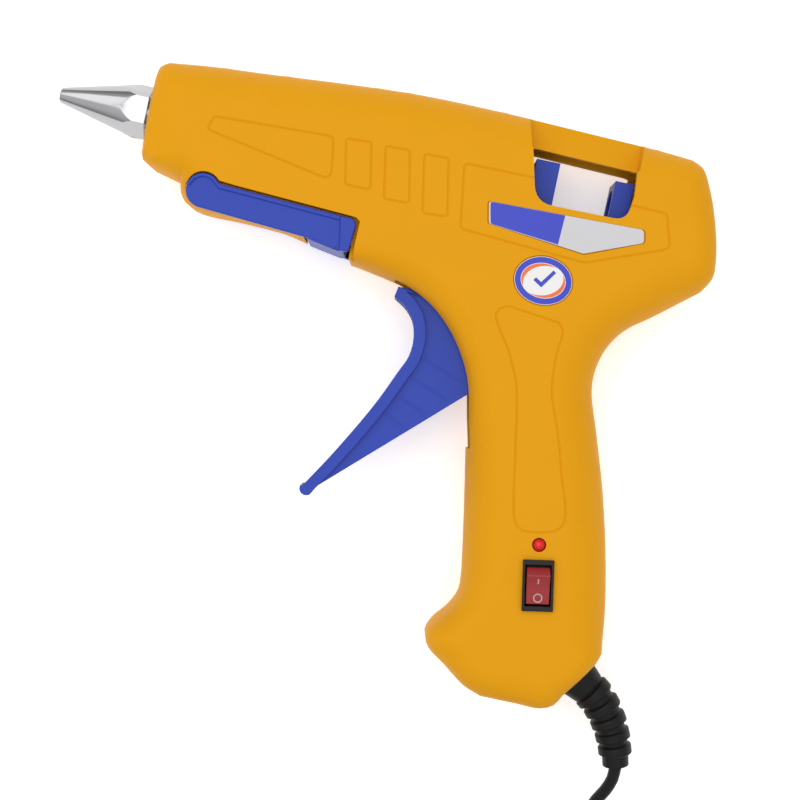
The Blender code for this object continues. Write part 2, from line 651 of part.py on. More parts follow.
def trigger_spring():
    """A torsion spring wound round the hub's pin, beside the hub."""
    pieces = 12
    points = []
    for i in range(16):
        a = 2 * math.pi * i / pieces
        height = MID + 7.85 + 0.75 * i / pieces
        points.append((PIVOT.x + 4.4 * math.cos(a), PIVOT.y + 4.4 * math.sin(a), height))
    return tube("trigger_spring", points, 0.3, STEEL, resolution=1)


# Stand


def stand():
    """Two arms with round eyes, studs that snap into the shells, and the bar that joins them."""
    eye = (STAND_PIVOT.x, STAND_PIVOT.y)
    floor = MID - STEP_DEPTH + 0.4
    arm = [*arc(eye, STAND_EYE_R, 255, 30, 15), (-49.5, 59.5), (-11.6, 49.6), (-9.8, 48.6), (-9.5, 47.3),
           (-11.6, 39.8), (-12.6, 39.5), (-23.9, 43.7)]
    arms = both_sides("stand_arms", arm, floor, floor + STAND_ARM)
    pads = both_sides("stand_pads", [(-14.2, 50.1), *arm[17:21], (-14.5, 40.2)], floor, MID - 0.2)
    borders = both_sides("stand_borders", [(-50.2, 59.6), (-13.9, 50.1), (-14.2, 48.7), (-50.5, 58.2)],
                         floor + 0.2, MID - 0.2)
    bar = plate("stand", [(-23.9, 47.0), (-24.4, 43.7), (-15.0, 39.9), (-13.6, 39.9), (-12.9, 41.2),
                          (-12.7, 42.8)], MID - 15.5, MID + 15.5, BLUE)
    studs = both_sides("stand_studs", arc(eye, 2.35, 0, 337.5, 15), 10.6, MID - STEP_DEPTH + 1.0)
    join(bar, arms, pads, borders, studs)


# Electrics


def switch():
    """A small rocker switch: body with a bezel, the rocker, and two blade terminals."""
    spot = shifted(SWITCH.x, SWITCH.y, SWITCH.z, SWITCH_TURN)
    body = box("switch_body", (8.2, 13.4, 13.0), BLACK, spot @ Matrix.Translation((0, 0, -5.9 * MM)))
    bezel = box("switch_bezel", (9.2, 15.1, 1.0), at=spot @ Matrix.Translation((0, 0, 0.8 * MM)))
    pit = box("switch_pit", (7.5, 12.0, 9.0), at=spot @ Matrix.Translation((0, 0, 0.5 * MM)))
    join(body, bezel)
    cut(body, pit)
    side = [(-5.5, 1.0), (-5.3, -1.2), (0.0, -2.4), (4.6, -1.6), (5.5, 0.9), (3.0, 3.0), (0.0, 1.6)]
    place("switch_rocker", plate_mesh("switch_rocker", side, -3.45, 3.45), DARK_RED,
          spot @ Matrix.Rotation(math.pi / 2, 4, "Z") @ Matrix.Rotation(math.pi / 2, 4, "X"))
    for i, y in ((1, 3.5), (2, -3.5)):
        at = spot @ Matrix.Translation((0, y * MM, -15.7 * MM))
        box(f"switch_terminal_{i}", (4.6, 0.8, 6.0), BRASS, at)


def lamp():
    """The power light: a small lens with a collar behind the shell, and its series resistor."""
    turned("indicator_lamp", ((0.0, 1.1), (0.9, 0.9), (1.55, 0.3), (1.8, -0.5), (1.8, -3.0), (2.6, -3.0),
                              (2.6, -9.0), (0.0, -9.0)), RED, shifted(LAMP.x, LAMP.y, LAMP.z), sides=20)
    turned("lamp_resistor", ((0.0, 3.2), (1.2, 3.0), (1.2, -3.0), (0.0, -3.2)), CERAMIC,
           shifted(38.0, -42.0, 18.0) @ Matrix.Rotation(math.pi / 2, 4, "X"), sides=10)


def clamp_spots():
    """Screw places of the cord clamp, on either side of the lead inside the butt."""
    middle = Vector((46.9, -77.3))
    across = Vector((math.cos(math.radians(44.1)), math.sin(math.radians(44.1))))
    return [tuple(middle + across * 5.6), tuple(middle - across * 5.6)]


def lead_clamp():
    at = shifted(46.9, -77.3, 21.6, math.radians(44.1))
    bar = box("cord_clamp", (17.0, 6.0, 2.4), BLACK, at, bevel=0.5)
    holes = cylinders("clamp_cut", 1.5, 10.0, 30.0, clamp_spots(), sides=10)
    cut(bar, holes)
    for i, (x, y) in enumerate(clamp_spots(), 1):
        profile = ((0.0, 25.0), (2.0, 24.6), (2.2, 23.1), (0.9, 23.1), (0.9, 9.5), (0.0, 8.8))
        turned(f"clamp_screw_{i}", profile, STEEL, shifted(x, y, 0.0), sides=10)


def wires():
    """The cores inside the handle and barrel, clear of the trigger and carriage."""
    split = (44.6, -74.9, MID)
    outlet = (52.4, -83.2, MID)
    tube("inner_cord", smooth((outlet, (48.9, -79.6, MID), split), 3.0), CORD_R, RUBBER)
    live = smooth(((43.4, -73.6, 19.0), (43.0, -69.0, 19.0), (44.6, -65.5, 17.0)), 2.5)
    tube("wire_live", live, 0.8, BLACK, resolution=1)
    tube("wire_neutral", smooth(((43.6, -73.6, 16.6), (50.0, -66.0, 8.0), (54.5, -45.0, 7.0),
                                 (54.0, -20.0, 7.0), (45.5, 0.0, 7.0), (41.0, 20.0, 7.0),
                                 (30.0, 38.0, 7.0), (12.0, 42.5, 7.0), (-4.0, 47.5, 7.0),
                                 (-20.0, 55.6, 9.0), (-31.0, 61.0, 13.0)), 6.0), 0.8, BLACK, resolution=1)
    tube("wire_switched", smooth(((44.5, -52.0, 17.0), (54.0, -44.0, 27.0), (54.0, -20.0, 29.0),
                                  (45.5, 0.0, 29.0), (41.0, 20.0, 29.0), (30.0, 38.0, 29.0),
                                  (12.0, 42.5, 29.0), (-4.0, 48.0, 29.0), (-20.0, 56.5, 26.0),
                                  (-30.0, 63.7, 20.0)), 6.0), 0.8, BRASS, resolution=1)


def labels():
    """The long side label and the oval sticker, each in its own shallow recess, blank."""
    plate("side_label", rounded(LABEL), THICK - LABEL_DEPTH + GAP, THICK, WHITE)
    plate("oval_sticker", sticker_outline(0.0), THICK - LABEL_DEPTH + GAP, THICK, WHITE)


# Mains lead


RELIEF_PATH = ((56.3, -87.2, 18.0), (59.1, -90.0, 17.95), (62.6, -93.7, 17.6), (65.1, -97.7, 17.0),
               (66.9, -101.9, 16.3), (68.1, -106.2, 15.6), (68.8, -110.6, 14.9), (69.1, -115.0, 14.1))
CORD_PATH = ((69.1, -115.7, 13.9), (68.3, -119.7, 12.6), (66.3, -123.5, 11.0), (63.6, -127.0, 9.2),
             (61.4, -131.2, 7.2), (60.1, -136.0, 5.0), (59.8, -141.0, 3.5))
PLUG_PATH = ((2.4, -148.5, 4.9), (0.4, -142.6, 3.2), (-4.0, -137.6, 2.3), (-10.8, -135.2, 2.2),
             (-17.8, -136.2, 3.2), (-23.3, -140.0, 5.4), (-25.5, -146.2, 7.0))


def strain_relief():
    """The rubber sleeve that guards the lead: a plug in the shells' hole, a cone, then a ribbed tail."""
    first = Vector(RELIEF_PATH[0])
    out = Vector((0.7, -0.714, 0.0))
    tail = smooth(RELIEF_PATH, 3.0)[1:]
    route = [first + out * reach for reach in (-4.9, -2.8, -2.7, 0.5, 0.6)]
    sizes = [6.8, 6.8, 4.6, 4.6, 6.9]
    for i, point in enumerate(tail, 1):
        route.append(Vector(point))
        sizes.append(6.9 - 2.2 * min(1.0, 1.6 * i / len(tail)))
    return tube("strain_relief", route, 1.0, RUBBER, tapers=sizes)


def coil():
    """The outer shape of the wound spare length, and the strap that keeps it together."""
    corner = 1.8
    profile = []
    for x, z, start in ((1, 1, 90), (1, -1, 0), (-1, -1, -90), (-1, 1, -180)):
        centre = (COIL_MEAN_R + x * (COIL_HALF_WIDE - corner), z * (COIL_HALF_HIGH - corner))
        profile.extend(arc(centre, corner, start, start - 90, 2))
    turned("mains_cord_coil", profile, RUBBER, shifted(COIL_MID.x, COIL_MID.y, COIL_MID.z), sides=36)
    strap = box("cord_tie", (2 * COIL_HALF_WIDE + 2.4, 6.0, 2 * COIL_HALF_HIGH + 1.9), BLACK,
                shifted(COIL_MID.x + COIL_MEAN_R, COIL_MID.y, COIL_MID.z))
    inside = box("tie_cut", (2 * COIL_HALF_WIDE + 1.0, 8.0, 2 * COIL_HALF_HIGH + 0.7),
                 at=shifted(COIL_MID.x + COIL_MEAN_R, COIL_MID.y, COIL_MID.z))
    cut(strap, inside)


def plug():
    """A flat two-pin mains plug lying beside the coil, its pins pointing away along -Y."""
    half = ((4.6, 20.5), (9.0, 9.0), (13.4, 4.0), (17.2, -8.0), (17.2, -14.0), (15.5, -15.5))
    outline = [*half, *((-x, y) for x, y in reversed(half))]
    plate("plug_body", [(PLUG.x + x, PLUG.y + y) for x, y in outline], 0.3, 13.9, BLACK)
    for i, x in ((1, -9.5), (2, 9.5)):
        turned(f"plug_pin_{i}", ((0.0, 19.0), (1.3, 18.6), (2.0, 17.4), (2.0, 0.3), (0.0, 0.3)), BRASS,
               shifted(PLUG.x + x, PLUG.y - 15.5, PLUG.z) @ Matrix.Rotation(math.pi / 2, 4, "X"), sides=14)
    tube("plug_lead", smooth(PLUG_PATH, 6.0), CORD_R, RUBBER)


def lead():
    """The lead from the strain relief down to the table, the coil of its spare length, and the plug."""
    strain_relief()
    tube("mains_cord", smooth(CORD_PATH, 6.0), CORD_R, RUBBER)
    coil()
    plug()


def build():
    housing()
    shell_screws()
    hot_end()
    trigger()
    carriage()
    trigger_spring()
    stand()
    switch()
    lamp()
    lead_clamp()
    wires()
    labels()
    lead()


clear_scene()
PARTS = collection("glue_gun")
CUTTERS = collection("cutters")
build()
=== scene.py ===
# %% [markdown]
# # A hot-melt glue gun, laid on its right side
# The real object is a pair of yellow moulded shells, screwed together round a heater, a trigger and a
# carriage that pushes the glue stick. The CAD part fixes where everything is and how it moves. This file
# dresses it: each visible piece is modelled finely, rides on its CAD body and takes a procedural finish.

# %% Frame and units
import json
import math

import bmesh
import bpy
import numpy as np
from mathutils import Matrix, Vector
from mathutils.geometry import delaunay_2d_cdt


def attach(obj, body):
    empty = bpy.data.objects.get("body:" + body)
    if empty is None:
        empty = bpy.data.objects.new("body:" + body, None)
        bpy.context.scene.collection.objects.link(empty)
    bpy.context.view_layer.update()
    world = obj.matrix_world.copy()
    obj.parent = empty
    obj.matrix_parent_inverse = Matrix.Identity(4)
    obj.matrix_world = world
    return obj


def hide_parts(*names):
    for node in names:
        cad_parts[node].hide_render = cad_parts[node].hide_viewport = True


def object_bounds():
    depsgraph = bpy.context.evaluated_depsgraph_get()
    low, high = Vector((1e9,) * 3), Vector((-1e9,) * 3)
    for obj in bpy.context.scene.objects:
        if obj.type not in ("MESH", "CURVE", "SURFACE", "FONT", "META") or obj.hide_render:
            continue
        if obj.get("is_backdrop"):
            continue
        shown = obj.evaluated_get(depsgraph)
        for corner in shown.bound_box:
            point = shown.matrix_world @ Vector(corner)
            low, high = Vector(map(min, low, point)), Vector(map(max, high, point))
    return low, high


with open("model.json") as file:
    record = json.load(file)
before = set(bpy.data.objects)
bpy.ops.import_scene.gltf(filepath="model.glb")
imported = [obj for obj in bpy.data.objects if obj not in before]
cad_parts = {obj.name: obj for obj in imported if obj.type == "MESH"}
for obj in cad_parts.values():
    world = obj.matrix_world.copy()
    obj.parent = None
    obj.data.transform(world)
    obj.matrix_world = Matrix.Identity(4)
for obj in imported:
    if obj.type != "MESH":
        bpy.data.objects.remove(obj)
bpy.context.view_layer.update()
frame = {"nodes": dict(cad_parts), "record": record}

MM = 0.001
THICK = 36.0
MID = THICK / 2
WALL = 2.4
SEAM = 0.15

# %% [markdown]
# ## Camera
# The gun is seen square from above. A lens well over 50 mm, a good way off, keeps the near face and the
# far one almost the same size. The camera has to show the edges of the nozzle and handle as they really
# foreshorten, so it is a perspective camera and not an orthographic one.

# %% Camera
EYE = Vector((3.45, -4.05, 618.0)) * MM
lens = bpy.data.cameras.new("camera")
lens.type = "PERSP"
lens.lens = 89.2
lens.sensor_width = 36.0
lens.clip_start = 0.01
lens.clip_end = 20.0
camera = bpy.data.objects.new("camera", lens)
camera.location = EYE
bpy.context.scene.collection.objects.link(camera)
bpy.context.scene.camera = camera
bpy.context.scene.view_settings.view_transform = "Standard"
print("camera height, mm:", round(EYE.z / MM))

# %% [markdown]
# ## Finishes
# Moulded plastic isn't one flat colour: it has a fine spark-eroded grain, and its gloss wanders a little.
# One function makes each material from noise: a slow one varies the colour, a fine one gloss and surface.

# %% Finish maker
DRIFT_SIZE = 12.0
COAT_BLUR = 0.15


def noise(tree, spot, size, detail):
    """A noise fixed to the piece, with features of about this size in millimetres."""
    made = tree.nodes.new("ShaderNodeTexNoise")
    made.inputs["Scale"].default_value = 1.0 / (size * MM)
    made.inputs["Detail"].default_value = detail
    tree.links.new(spot.outputs["Object"], made.inputs["Vector"])
    return made


def finish(name, colour, roughness, metallic=0.0, grain=0.0, grain_size=0.5, drift=0.06, coat=0.0,
           spread=0.08, shine=0.5):
    """A procedural material. Grain is the bump's depth and grain_size the width of its bumps, in mm."""
    made = bpy.data.materials.new(name)
    made.use_nodes = True
    tree = made.node_tree
    shader = tree.nodes["Principled BSDF"]
    shader.inputs["Metallic"].default_value = metallic
    shader.inputs["Coat Weight"].default_value = coat
    shader.inputs["Coat Roughness"].default_value = COAT_BLUR
    shader.inputs["Specular IOR Level"].default_value = shine
    spot = tree.nodes.new("ShaderNodeTexCoord")
    slow = noise(tree, spot, DRIFT_SIZE, 3.0)
    tint = tree.nodes.new("ShaderNodeMix")
    tint.data_type = "RGBA"
    tint.inputs["A"].default_value = (*(c * (1 - drift) for c in colour), 1.0)
    tint.inputs["B"].default_value = (*(min(1.0, c * (1 + drift)) for c in colour), 1.0)
    tree.links.new(slow.outputs["Fac"], tint.inputs["Factor"])
    tree.links.new(tint.outputs["Result"], shader.inputs["Base Color"])
    fine = noise(tree, spot, grain_size, 4.0)
    fine.inputs["Roughness"].default_value = 0.6
    gloss = tree.nodes.new("ShaderNodeMapRange")
    gloss.inputs["To Min"].default_value = max(0.02, roughness - spread)
    gloss.inputs["To Max"].default_value = min(1.0, roughness + spread)
    tree.links.new(fine.outputs["Fac"], gloss.inputs["Value"])
    tree.links.new(gloss.outputs["Result"], shader.inputs["Roughness"])
    if grain:
        bump = tree.nodes.new("ShaderNodeBump")
        bump.inputs["Distance"].default_value = grain * MM
        bump.inputs["Strength"].default_value = 1.0
        tree.links.new(fine.outputs["Fac"], bump.inputs["Height"])
        tree.links.new(bump.outputs["Normal"], shader.inputs["Normal"])
    return made


# %% [markdown]
# ## The set of finishes
# The shells are a warm yellow with a fine grain, the moving plastics a strong blue, and the lead and its
# sleeve soft black. Bare aluminium, plated steel and nickel differ in tint and in how far they blur.

# %% Materials
VALUES = {
    "yellow_plastic": dict(colour=(0.74, 0.325, 0.001), roughness=0.6, grain=0.028, grain_size=0.55,
                           drift=0.02, shine=0.15),
    "blue_plastic": dict(colour=(0.014, 0.046, 0.40), roughness=0.42, grain=0.012, drift=0.04, shine=0.3),
    "black_plastic": dict(colour=(0.007, 0.007, 0.008), roughness=0.38, grain=0.01, shine=0.25),
    "black_rubber": dict(colour=(0.004, 0.004, 0.004), roughness=0.5, grain=0.01, grain_size=0.4,
                         shine=0.25),
    "nozzle_metal": dict(colour=(0.42, 0.42, 0.43), roughness=0.16, metallic=1.0, grain=0.004,
                         grain_size=0.8, spread=0.05),
    "steel": dict(colour=(0.6, 0.61, 0.63), roughness=0.3, metallic=1.0, grain=0.004),
    "brass": dict(colour=(0.78, 0.56, 0.22), roughness=0.32, metallic=1.0, grain=0.004),
    "red_wire": dict(colour=(0.5, 0.02, 0.02), roughness=0.45),
    "nickel": dict(colour=(0.75, 0.73, 0.69), roughness=0.22, metallic=1.0, grain=0.003),
    "red_silicone": dict(colour=(0.55, 0.07, 0.03), roughness=0.6, grain=0.01),
    "ceramic": dict(colour=(0.72, 0.7, 0.64), roughness=0.55, grain=0.01),
    "red_lens": dict(colour=(0.70, 0.003, 0.005), roughness=0.2, drift=0.1),
    "red_rocker": dict(colour=(0.30, 0.006, 0.008), roughness=0.28, coat=0.2, drift=0.04),
    "side_label": dict(colour=(0.58, 0.57, 0.59), roughness=0.4, drift=0.03),
    "sticker": dict(colour=(0.80, 0.79, 0.76), roughness=0.42, drift=0.02),
}
LOOKS = {name: finish(name, **values) for name, values in VALUES.items()}
LABEL_BLUE = finish("label_blue", (0.016, 0.034, 0.50), 0.4, drift=0.05)
STICKER_RED = finish("sticker_red", (0.80, 0.14, 0.03), 0.42, drift=0.04)
MARK_WHITE = finish("mark_white", (0.55, 0.4, 0.4), 0.5)
print("finishes:", ", ".join(LOOKS))

# %% [markdown]
# ## Building helpers
# Numbers below are millimetres and become metres as each mesh is made. A piece rides on a CAD body, stands
# for the CAD nodes it replaces, and names the material slot that its finish belongs to.

# %% Making a piece
def make(name, mesh, body, slot=None, stands_for=(), at=None, look=None):
    """A shown piece from a mesh in millimetres, in its slot's finish unless it is given another."""
    mesh.transform(Matrix.Scale(MM, 4))
    if at is not None:
        mesh.transform(at)
    made = bpy.data.objects.new(name, mesh)
    bpy.context.scene.collection.objects.link(made)
    made.data.materials.append(look or LOOKS[slot])
    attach(made, body)
    if stands_for:
        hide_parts(*stands_for)
    return made


def tell(*pieces):
    for piece in pieces:
        sides = np.ptp([v.co for v in piece.data.vertices], axis=0) / MM
        print(f"{piece.name}: {len(piece.data.polygons)} faces,", " x ".join(f"{s:.1f}" for s in sides), "mm")


def mesh_from(bm, name):
    bmesh.ops.recalc_face_normals(bm, faces=bm.faces)
    mesh = bpy.data.meshes.new(name)
    bm.to_mesh(mesh)
    bm.free()
    return mesh


def smoothed(made, angle=30.0):
    made.data.shade_smooth()
    made.data.set_sharp_from_angle(angle=math.radians(angle))
    return made


def bevelled(made, width, segments=3, angle=32.0):
    """Rounded edges, as a mould's corners are, with even shading over the flats."""
    step = made.modifiers.new("rounding", "BEVEL")
    step.width = width * MM
    step.segments = segments
    step.limit_method = "ANGLE"
    step.angle_limit = math.radians(angle)
    step.harden_normals = True
    made.data.shade_smooth()
    return made


# %% [markdown]
# Holes and recesses are cut with Booleans. A cutter is hidden, is marked as no part of the object, and is
# removed once its cut is part of the piece's own mesh.

# %% Cutting a piece
def cutter(name, mesh, at=None):
    mesh.transform(Matrix.Scale(MM, 4))
    made = bpy.data.objects.new(name, mesh)
    bpy.context.scene.collection.objects.link(made)
    made.hide_render = True
    made.hide_viewport = True
    if at is not None:
        made.matrix_world = at
    made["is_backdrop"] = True
    return made


def boolean(made, other, how="DIFFERENCE", overlapping=False):
    """Cut with another object. A piece of overlapping blocks needs them joined on the way."""
    step = made.modifiers.new(other.name, "BOOLEAN")
    step.operation = how
    step.solver = "EXACT"
    step.use_self = overlapping
    step.object = other


def baked(made):
    """The modifiers' result as the piece's own mesh. It gives back the cutters that were used."""
    bpy.context.view_layer.update()
    result = bpy.data.meshes.new_from_object(made.evaluated_get(bpy.context.evaluated_depsgraph_get()))
    others = [m.object for m in made.modifiers if m.type == "BOOLEAN"]
    made.modifiers.clear()
    made.data = result
    return others


def drop(objects):
    for item in set(objects):
        bpy.data.objects.remove(item)


# %% [markdown]
# ## Shape helpers
# Most shapes here are upright prisms, turned profiles and swept tubes. All three are rings of points with
# bands of faces between them, or an outline raised to a height.

# %% Solids from outlines and profiles
def raised(bm, faces, height):
    """Close a solid below or above these faces, with its other end flat at a height."""
    grown = bmesh.ops.extrude_face_region(bm, geom=faces)
    for item in grown["geom"]:
        if isinstance(item, bmesh.types.BMVert):
            item.co.z = height


def prism(outlines):
    """One mesh of upright prisms, each an outline with its low and high height."""
    bm = bmesh.new()
    for outline, low, high in outlines:
        raised(bm, [bm.faces.new([bm.verts.new((x, y, low)) for x, y in outline])], high)
    return mesh_from(bm, "prism")


def band(bm, a, b):
    """The faces between two rings of points, either of which may be a single point."""
    sides = max(len(a), len(b))
    for i in range(sides):
        j = (i + 1) % sides
        corners = dict.fromkeys((a[i % len(a)], a[j % len(a)], b[j % len(b)], b[i % len(b)]))
        if len(corners) > 2:
            bm.faces.new(list(corners))


def lathe(profile, sides=64):
    """A closed profile of (radius, height) turned about Z. Points on the axis join the ends."""
    bm = bmesh.new()
    rings = []
    for r, z in profile:
        turns = [2 * math.pi * i / sides for i in range(sides if r else 1)]
        rings.append([bm.verts.new((r * math.cos(a), r * math.sin(a), z)) for a in turns])
    for a, b in zip(rings, rings[1:]):
        band(bm, a, b)
    if profile[0][0]:
        band(bm, rings[-1], rings[0])
    return mesh_from(bm, "lathe")


def hoop(outer, inner, low, high):
    """A flat ring between two outlines."""
    bm = bmesh.new()
    rows = [[bm.verts.new((x, y, z)) for x, y in line]
            for line, z in ((outer, low), (outer, high), (inner, high), (inner, low))]
    for a, b in zip(rows, rows[1:] + rows[:1]):
        band(bm, a, b)
    return mesh_from(bm, "hoop")


# %% [markdown]
# The glue stick's line runs from the nozzle's tip, 12 degrees nose up. The nozzle, the carriage and the
# stick's inlet are placed by how far back they are along that line.

# %% Places and outlines
TIP = Vector((-99.2, 88.3, MID))
STICK_TILT = math.radians(12.0)
BACK = Vector((math.cos(STICK_TILT), -math.sin(STICK_TILT), 0.0))
UP = Vector((math.sin(STICK_TILT), math.cos(STICK_TILT), 0.0))


def spot_at(x, y, z, turn=0.0):
    return Matrix.Translation(Vector((x, y, z)) * MM) @ Matrix.Rotation(turn, 4, "Z")


def along_stick(s):
    """The place s behind the nozzle's tip, with Z turned to run along the stick."""
    return spot_at(*(TIP + BACK * s), -STICK_TILT) @ Matrix.Rotation(math.pi / 2, 4, "Y")


def stick_outline(corners):
    found = [TIP + BACK * s + UP * v for s, v in corners]
    return [(p.x, p.y) for p in found]


def arc(centre, radius, start, end, pieces):
    angles = np.radians(np.linspace(start, end, pieces + 1))
    return [(centre[0] + radius * math.cos(a), centre[1] + radius * math.sin(a)) for a in angles]


def rounded(corners, margin=0.0, pieces=6):
    """An outline from corners with radii, in order, grown by a margin away from its middle."""
    middle = sum((Vector(c[:2]) for c in corners), Vector((0.0, 0.0))) / len(corners)
    found = []
    for i, (x, y, radius) in enumerate(corners):
        corner = Vector((x, y))
        before = (Vector(corners[i - 1][:2]) - corner).normalized()
        after = (Vector(corners[(i + 1) % len(corners)][:2]) - corner).normalized()
        reach = radius / math.tan(before.angle(after) / 2)
        for share in np.linspace(0.0, 1.0, pieces + 1):
            blend = corner + before * reach * (1 - share) ** 2 + after * reach * share**2
            found.append(tuple(blend + (blend - middle).normalized() * margin))
    return found


# %% [markdown]
# Curved stretches go through a few chosen points on a Catmull-Rom curve. Its centripetal form is used,
# because it makes no loops or overshoots where the points are unevenly spaced.

# %% Smooth curves
def catmull_rom(corners, knots, t):
    level = list(corners)
    for low, high in (((0, 1, 2), (1, 2, 3)), ((0, 1), (2, 3)), ((1,), (2,))):
        level = [((knots[j] - t) * level[k] + (t - knots[i]) * level[k + 1]) / (knots[j] - knots[i])
                 for k, (i, j) in enumerate(zip(low, high))]
    return level[0]


def smooth(points, step):
    """Points at about the given spacing on the curve through the given ones."""
    points = [np.array(p, float) for p in points]
    if len(points) == 2:
        pieces = max(1, round(float(np.linalg.norm(points[1] - points[0])) / step))
        return [tuple(points[0] + (points[1] - points[0]) * i / pieces) for i in range(pieces + 1)]
    padded = [2 * points[0] - points[1], *points, 2 * points[-1] - points[-2]]
    found = []
    for before, a, b, after in zip(padded, padded[1:], padded[2:], padded[3:]):
        gaps = (np.linalg.norm(q - p) ** 0.5 for p, q in ((before, a), (a, b), (b, after)))
        knots = np.cumsum([0.0, *gaps])
        pieces = max(1, round(float(np.linalg.norm(b - a)) / step))
        for t in np.linspace(knots[1], knots[2], pieces, endpoint=False):
            found.append(tuple(catmull_rom((before, a, b, after), knots, t)))
    return [*found, tuple(points[-1])]


# %% [markdown]
# ## The lead
# The real lead is 1.2 m long. It leaves the butt through a ribbed sleeve, drops to the table, and its spare
# length is wound in a flat two-layer coil held by a strap. The plug lies beside it. A POLY curve with a
# round bevel keeps exactly the length that its points have, so the coil is sized until it measures 1.2 m.

# %% Lead route
CORD_R = 1.9
CORD_LENGTH = 1200.0
CORD_STEP = 2.0
CORD_PATH = ((69.1, -115.7, 13.9), (68.3, -119.7, 12.6), (66.3, -123.5, 11.0), (63.6, -127.0, 9.2),
             (61.4, -131.2, 7.2), (60.1, -136.0, 5.0), (59.8, -141.0, 3.5))
PLUG_PATH = ((2.4, -148.5, 4.9), (0.4, -142.6, 3.2), (-4.0, -137.6, 2.3), (-10.8, -135.2, 2.2),
             (-17.8, -136.2, 3.2), (-23.3, -140.0, 5.4), (-25.5, -146.2, 7.0))
COIL = (34.0, -166.0)
COIL_START = 25.0
PITCH = 4.0
LAYERS = (3.1, 7.25)
LOWER_END, RISE_END, NEST_END = 3.75, 4.25, 5.0
RISE_IN = 1.0
NEST_PITCH = 4.9
FIRST_TURN, LAST_TURN = 0.10, 7.52
POINTS_A_TURN = 30


def eased(t):
    t = min(1.0, max(0.0, t))
    return t * t * (3 - 2 * t)


def coil_point(turns, outer):
    """A point of the two-layer coil: in along the lower layer, up, and out along the upper one."""
    angle = math.radians(COIL_START - 360.0 * turns)
    share = (turns - LOWER_END) / (RISE_END - LOWER_END)
    r = outer - PITCH * min(turns, LOWER_END) - RISE_IN * min(1.0, max(0.0, share))
    r += NEST_PITCH * (min(max(turns, RISE_END), NEST_END) - RISE_END) + PITCH * max(0.0, turns - NEST_END)
    z = LAYERS[0] + (LAYERS[1] - LAYERS[0]) * eased(share)
    return (COIL[0] + r * math.cos(angle), COIL[1] + r * math.sin(angle), z)


def route(outer):
    wound = [coil_point(t, outer) for t in np.arange(FIRST_TURN, LAST_TURN, 1 / POINTS_A_TURN)]
    down = smooth([*CORD_PATH, *wound[:1]], CORD_STEP)[:-1]
    return down + wound + smooth([wound[-1], *PLUG_PATH], CORD_STEP)[1:]


def length_of(points):
    return float(np.linalg.norm(np.diff(np.array(points), axis=0), axis=1).sum())


small, large = 26.0, 34.0
for _ in range(40):
    outer_turn = (small + large) / 2
    lead = route(outer_turn)
    small, large = (outer_turn, large) if length_of(lead) < CORD_LENGTH else (small, outer_turn)
print("lead, mm:", round(length_of(lead), 2), "outer turn's radius:", round(outer_turn, 2))

# %% [markdown]
# The lead is a curve object and not a mesh, so that its length can be read from it.

# %% Lead curve
curve = bpy.data.curves.new("mains_lead", "CURVE")
curve.dimensions = "3D"
curve.bevel_depth = CORD_R * MM
curve.bevel_resolution = 5
curve.use_fill_caps = True
line = curve.splines.new("POLY")
line.points.add(len(lead) - 1)
for point, place in zip(line.points, lead):
    point.co = (*(Vector(place) * MM), 1.0)
line.use_smooth = True
cord = bpy.data.objects.new("mains_lead", curve)
bpy.context.scene.collection.objects.link(cord)
curve.materials.append(LOOKS["black_rubber"])
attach(cord, "housing")
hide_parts("mains_cord", "mains_cord_coil", "plug_lead")
print("points on the lead:", len(lead))

# %% [markdown]
# ## Sleeve, strap and plug
# The sleeve that guards the lead is moulded rubber: a smooth cone at the butt, then rings with necks between
# them that let it bend. It is a tube of cross-sections along the same path, so the rings follow the bend.

# %% Ribbed sleeve
RELIEF_PATH = ((56.3, -87.2, 18.0), (59.1, -90.0, 17.95), (62.6, -93.7, 17.6), (65.1, -97.7, 17.0),
               (66.9, -101.9, 16.3), (68.1, -106.2, 15.6), (68.8, -110.6, 14.9), (69.1, -115.0, 14.1))
RIBS = ((8.0, 5.9), (12.8, 5.7), (17.6, 5.5), (22.4, 5.3), (27.0, 5.1))
RIB_HALF = 1.55
RIB_ROUND = 0.35
CONE_END = 5.8
INSIDE = 4.9
INTO_BUTT = Vector((0.7, -0.714, 0.0))


def sleeve_radius(s):
    """The radius s along the sleeve: its flange and neck inside the butt, a cone, and necks between rings."""
    s -= INSIDE
    if s < -0.01:
        return 6.8 if s < 2.16 - INSIDE else 4.6
    found = neck = 4.9 - 0.9 * min(1.0, max(0.0, (s - 7.0) / 21.0))
    if s < CONE_END:
        found = 6.7 - 1.5 * min(1.0, s / 7.0)
    for middle, size in RIBS:
        inside = RIB_HALF - abs(s - middle)
        if inside > 0:
            found = max(found, neck + (size - neck) * min(1.0, inside / RIB_ROUND) ** 0.5)
    return found


def swept(path, radius_of, sides=40):
    """A closed tube through a path, with a radius at each distance along it."""
    path = [Vector(p) for p in path]
    gone = 0.0
    bm = bmesh.new()
    rings = []
    for i, point in enumerate(path):
        if i:
            gone += (point - path[i - 1]).length
        ahead = (path[min(i + 1, len(path) - 1)] - path[max(i - 1, 0)]).normalized()
        side = ahead.cross(Vector((0, 0, 1))).normalized()
        top = side.cross(ahead)
        r = radius_of(gone)
        rings.append([bm.verts.new(point + (side * math.cos(a) + top * math.sin(a)) * r)
                      for a in np.linspace(0, 2 * math.pi, sides, endpoint=False)])
    for a, b in zip(rings, rings[1:]):
        band(bm, a, b)
    bm.faces.new(rings[0])
    bm.faces.new(rings[-1])
    return mesh_from(bm, "tube")


